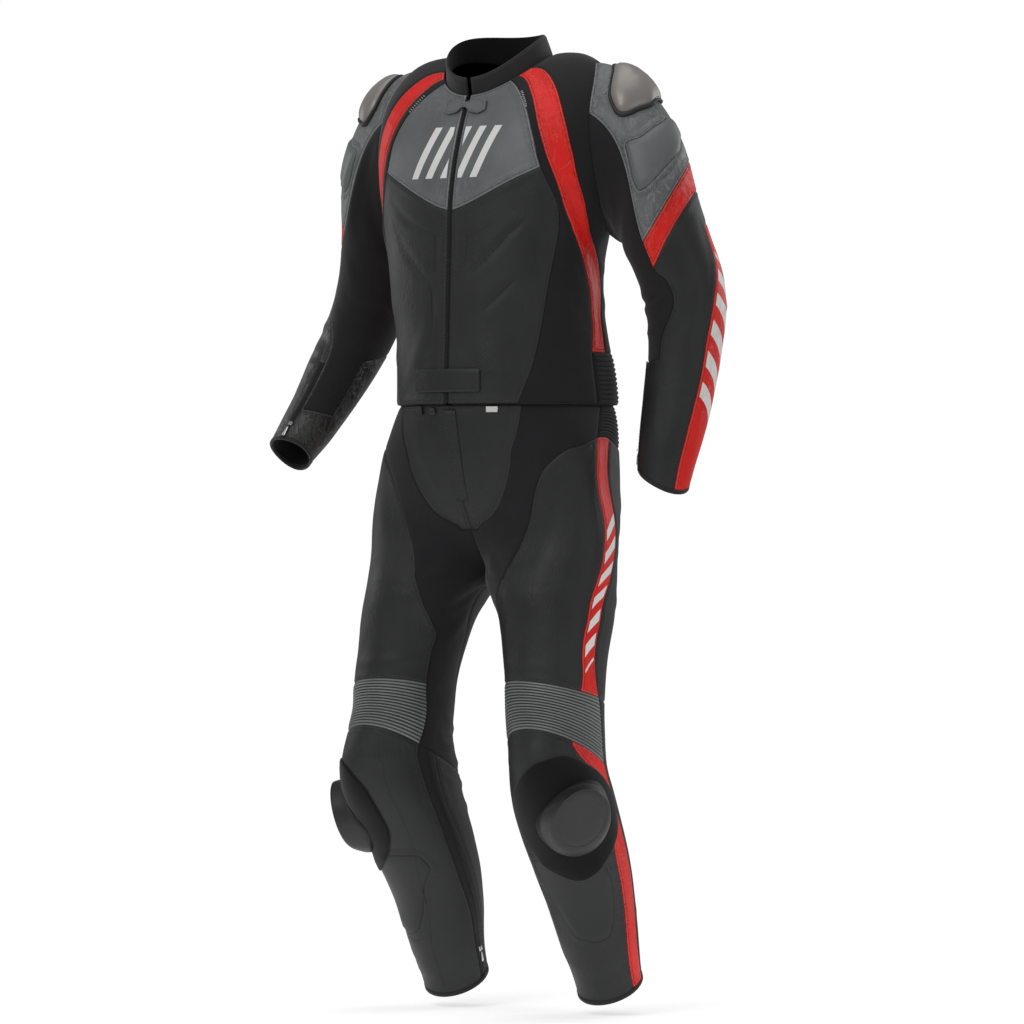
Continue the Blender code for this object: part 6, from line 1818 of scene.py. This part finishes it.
def button(name, surface, row, column, side, outward, rings, finish):
    """A small round stud."""
    point, normal = (v[0] for v in spots_on(surface, [row], [column], side, outward))
    turn = np.linspace(0, 2 * math.pi, 28, endpoint=False)
    one = unit(np.cross(normal, (0.0, 0.0, 1.0)))
    two = np.cross(normal, one)
    circles = [point + radius * (np.outer(np.cos(turn), one) + np.outer(np.sin(turn), two)) + normal * height
               for radius, height in rings]
    rings_solid(name, circles, (finish,), [0] * len(rings))


def slab(name, surface, rows, columns, side, outward, lift, thick, finish):
    """A small flat piece that lies on a panel."""
    row, column = np.meshgrid(np.linspace(*rows, 6), np.linspace(*columns, 6), indexing="ij")
    spots, normals = spots_on(surface, row, column, side, outward)
    low, high = (spots + normals * lift).reshape(-1, 3), (spots + normals * (lift + thick)).reshape(-1, 3)
    grid = np.arange(36).reshape(6, 6)
    faces = []
    for i in range(5):
        for j in range(5):
            quad = (grid[i, j], grid[i, j + 1], grid[i + 1, j + 1], grid[i + 1, j])
            faces += [quad, tuple(36 + k for k in reversed(quad))]
    edge = [*grid[0, :-1], *grid[:-1, -1], *grid[-1, :0:-1], *grid[:0:-1, 0]]
    for a, b in zip(edge, edge[1:] + edge[:1]):
        faces.append((b, a, a + 36, b + 36))
    made = solid(name, np.concatenate((low, high)), faces, (finish,), smooth=False)
    store(made, "edge", "FLOAT", np.full(72, 0.01))
    store(made, "pad", "FLOAT", np.full(72, -0.03))


def extras():
    """Cloth edges, vents, stud and label."""
    chest_bars()
    pressed_line_shadows()
    vents = Bits()
    for name, side in SIDES:
        arm = sleeve_surface(name)
        binding(f"cuff_binding_{name}", arm, (16.86, 17), (0, 16), side, 1, 0.0010)
        binding(f"ankle_binding_{name}", leg_surface, (21.88, 22), (0, 19), side, -1, 0.0010)
        rows = np.linspace(13.3, 14.9, 40)
        spots, normals = spots_on(body_front, rows, 4.0 + 0.62 * np.clip((rows - 12.9) / 2, 0, 1), side, 1)
        centre, way = along(spots + normals * 0.0012, 0.0040)
        near = np.clip((np.arange(len(centre)) / len(centre) * 40).astype(int), 0, 39)
        vents.add(centre, way, normals[near], *block_shape(0.0020, 0.0040, 0.0014, -0.0006, 0.7))
        slab(f"back_arm_flash_{name}", body_back, (6.1, 7.3), (11.6, 12.5), side, 1, 0.0006, 0.0012,
             "red_leather")
    vents.make("vent_teeth", "bare_metal")
    button("waist_stud", leg_surface, 0.25, 0.7, -1, -1,
           ((0.0058, 0.0010), (0.0060, 0.0030), (0.0052, 0.0040), (0.0036, 0.0042), (0.0032, 0.0034),
            (0.0016, 0.0034)), "dark_metal")
    slab("waist_label", leg_surface, (0.06, 0.32), (1.52, 2.0), 1, -1, 0.0008, 0.0006, "label_white")
    slab("waist_zip_end", leg_surface, (0.02, 0.40), (1.25, 1.6), -1, -1, 0.0010, 0.0024, "dark_metal")


THREADS = Bits()
jacket_front(THREADS)
extras()
small_parts()
stitch_rows(THREADS)
THREADS.make("stitching", "thread")


# Studio ------------------------------------------------------------------------------------------
FLOOR_Z = -1.432
AZIMUTH, DISTANCE, LENS = math.radians(34), 9.0, 208.07
AIM = Vector((0.01825 * math.cos(AZIMUTH), 0.01825 * math.sin(AZIMUTH), -0.6691))


def studio():
    scene = bpy.context.scene
    scene.view_settings.view_transform = "Standard"
    eye = bpy.data.cameras.new("studio_camera")
    eye.lens, eye.sensor_width = LENS, 36
    made = bpy.data.objects.new("studio_camera", eye)
    made.location = AIM + DISTANCE * Vector((math.sin(AZIMUTH), -math.cos(AZIMUTH), 0))
    made.rotation_euler = (AIM - made.location).to_track_quat("-Z", "Y").to_euler()
    scene.collection.objects.link(made)
    scene.camera = made
    right = Vector((math.cos(AZIMUTH), math.sin(AZIMUTH), 0))
    toward = Vector((math.sin(AZIMUTH), -math.cos(AZIMUTH), 0))
    lamps = (("key", (-1.5, 2.3, 2.0), 1.8, 30), ("fill", (2.4, 2.2, 0.2), 2.2, 10),
             ("rim_left", (-1.9, -1.2, 0.6), 1.4, 6), ("rim_right", (1.9, -1.3, 0.9), 1.4, 9),
             ("overhead", (0.1, 0.2, 2.2), 1.8, 12))
    for label, (aside, ahead, up), size, watts in lamps:
        lamp = bpy.data.lights.new(label, "AREA")
        lamp.shape, lamp.size, lamp.energy = "DISK", size, watts
        made = bpy.data.objects.new(label, lamp)
        made.location = AIM + right * aside + toward * ahead + Vector((0, 0, up))
        made.rotation_euler = (AIM - made.location).to_track_quat("-Z", "Y").to_euler()
        scene.collection.objects.link(made)
    world = bpy.data.worlds.new("white_room")
    world.use_nodes = True
    tree = world.node_tree
    tree.nodes["Background"].inputs["Color"].default_value = (1, 1, 1, 1)
    strength = add_node(tree, "MapRange", {"Value": add_node(tree, "LightPath").outputs["Is Camera Ray"],
                                           "To Min": 0.34, "To Max": 1.02}).outputs[0]
    tree.links.new(strength, tree.nodes["Background"].inputs["Strength"])
    scene.world = world
    floor_finish = bpy.data.materials.new("pale_floor")
    floor_finish.use_nodes = True
    tree = floor_finish.node_tree
    shader = tree.nodes["Principled BSDF"].inputs
    cloud = add_node(tree, "TexNoise", {"Scale": 3.0, "Detail": 3.0}).outputs["Fac"]
    tree.links.new(tint(tree, cloud, (0.86, 0.86, 0.86), (0.90, 0.90, 0.90)), shader["Base Color"])
    shader["Roughness"].default_value = 0.9
    shader["Specular IOR Level"].default_value = 0.1
    shader["Emission Color"].default_value = (1, 1, 1, 1)
    shader["Emission Strength"].default_value = 0.52
    bpy.ops.mesh.primitive_cylinder_add(vertices=96, radius=1.5, depth=0.02,
                                        location=(0, 0, FLOOR_Z - 0.01))
    floor = bpy.context.object
    floor.name = "studio_floor"
    floor.data.materials.append(floor_finish)


studio()
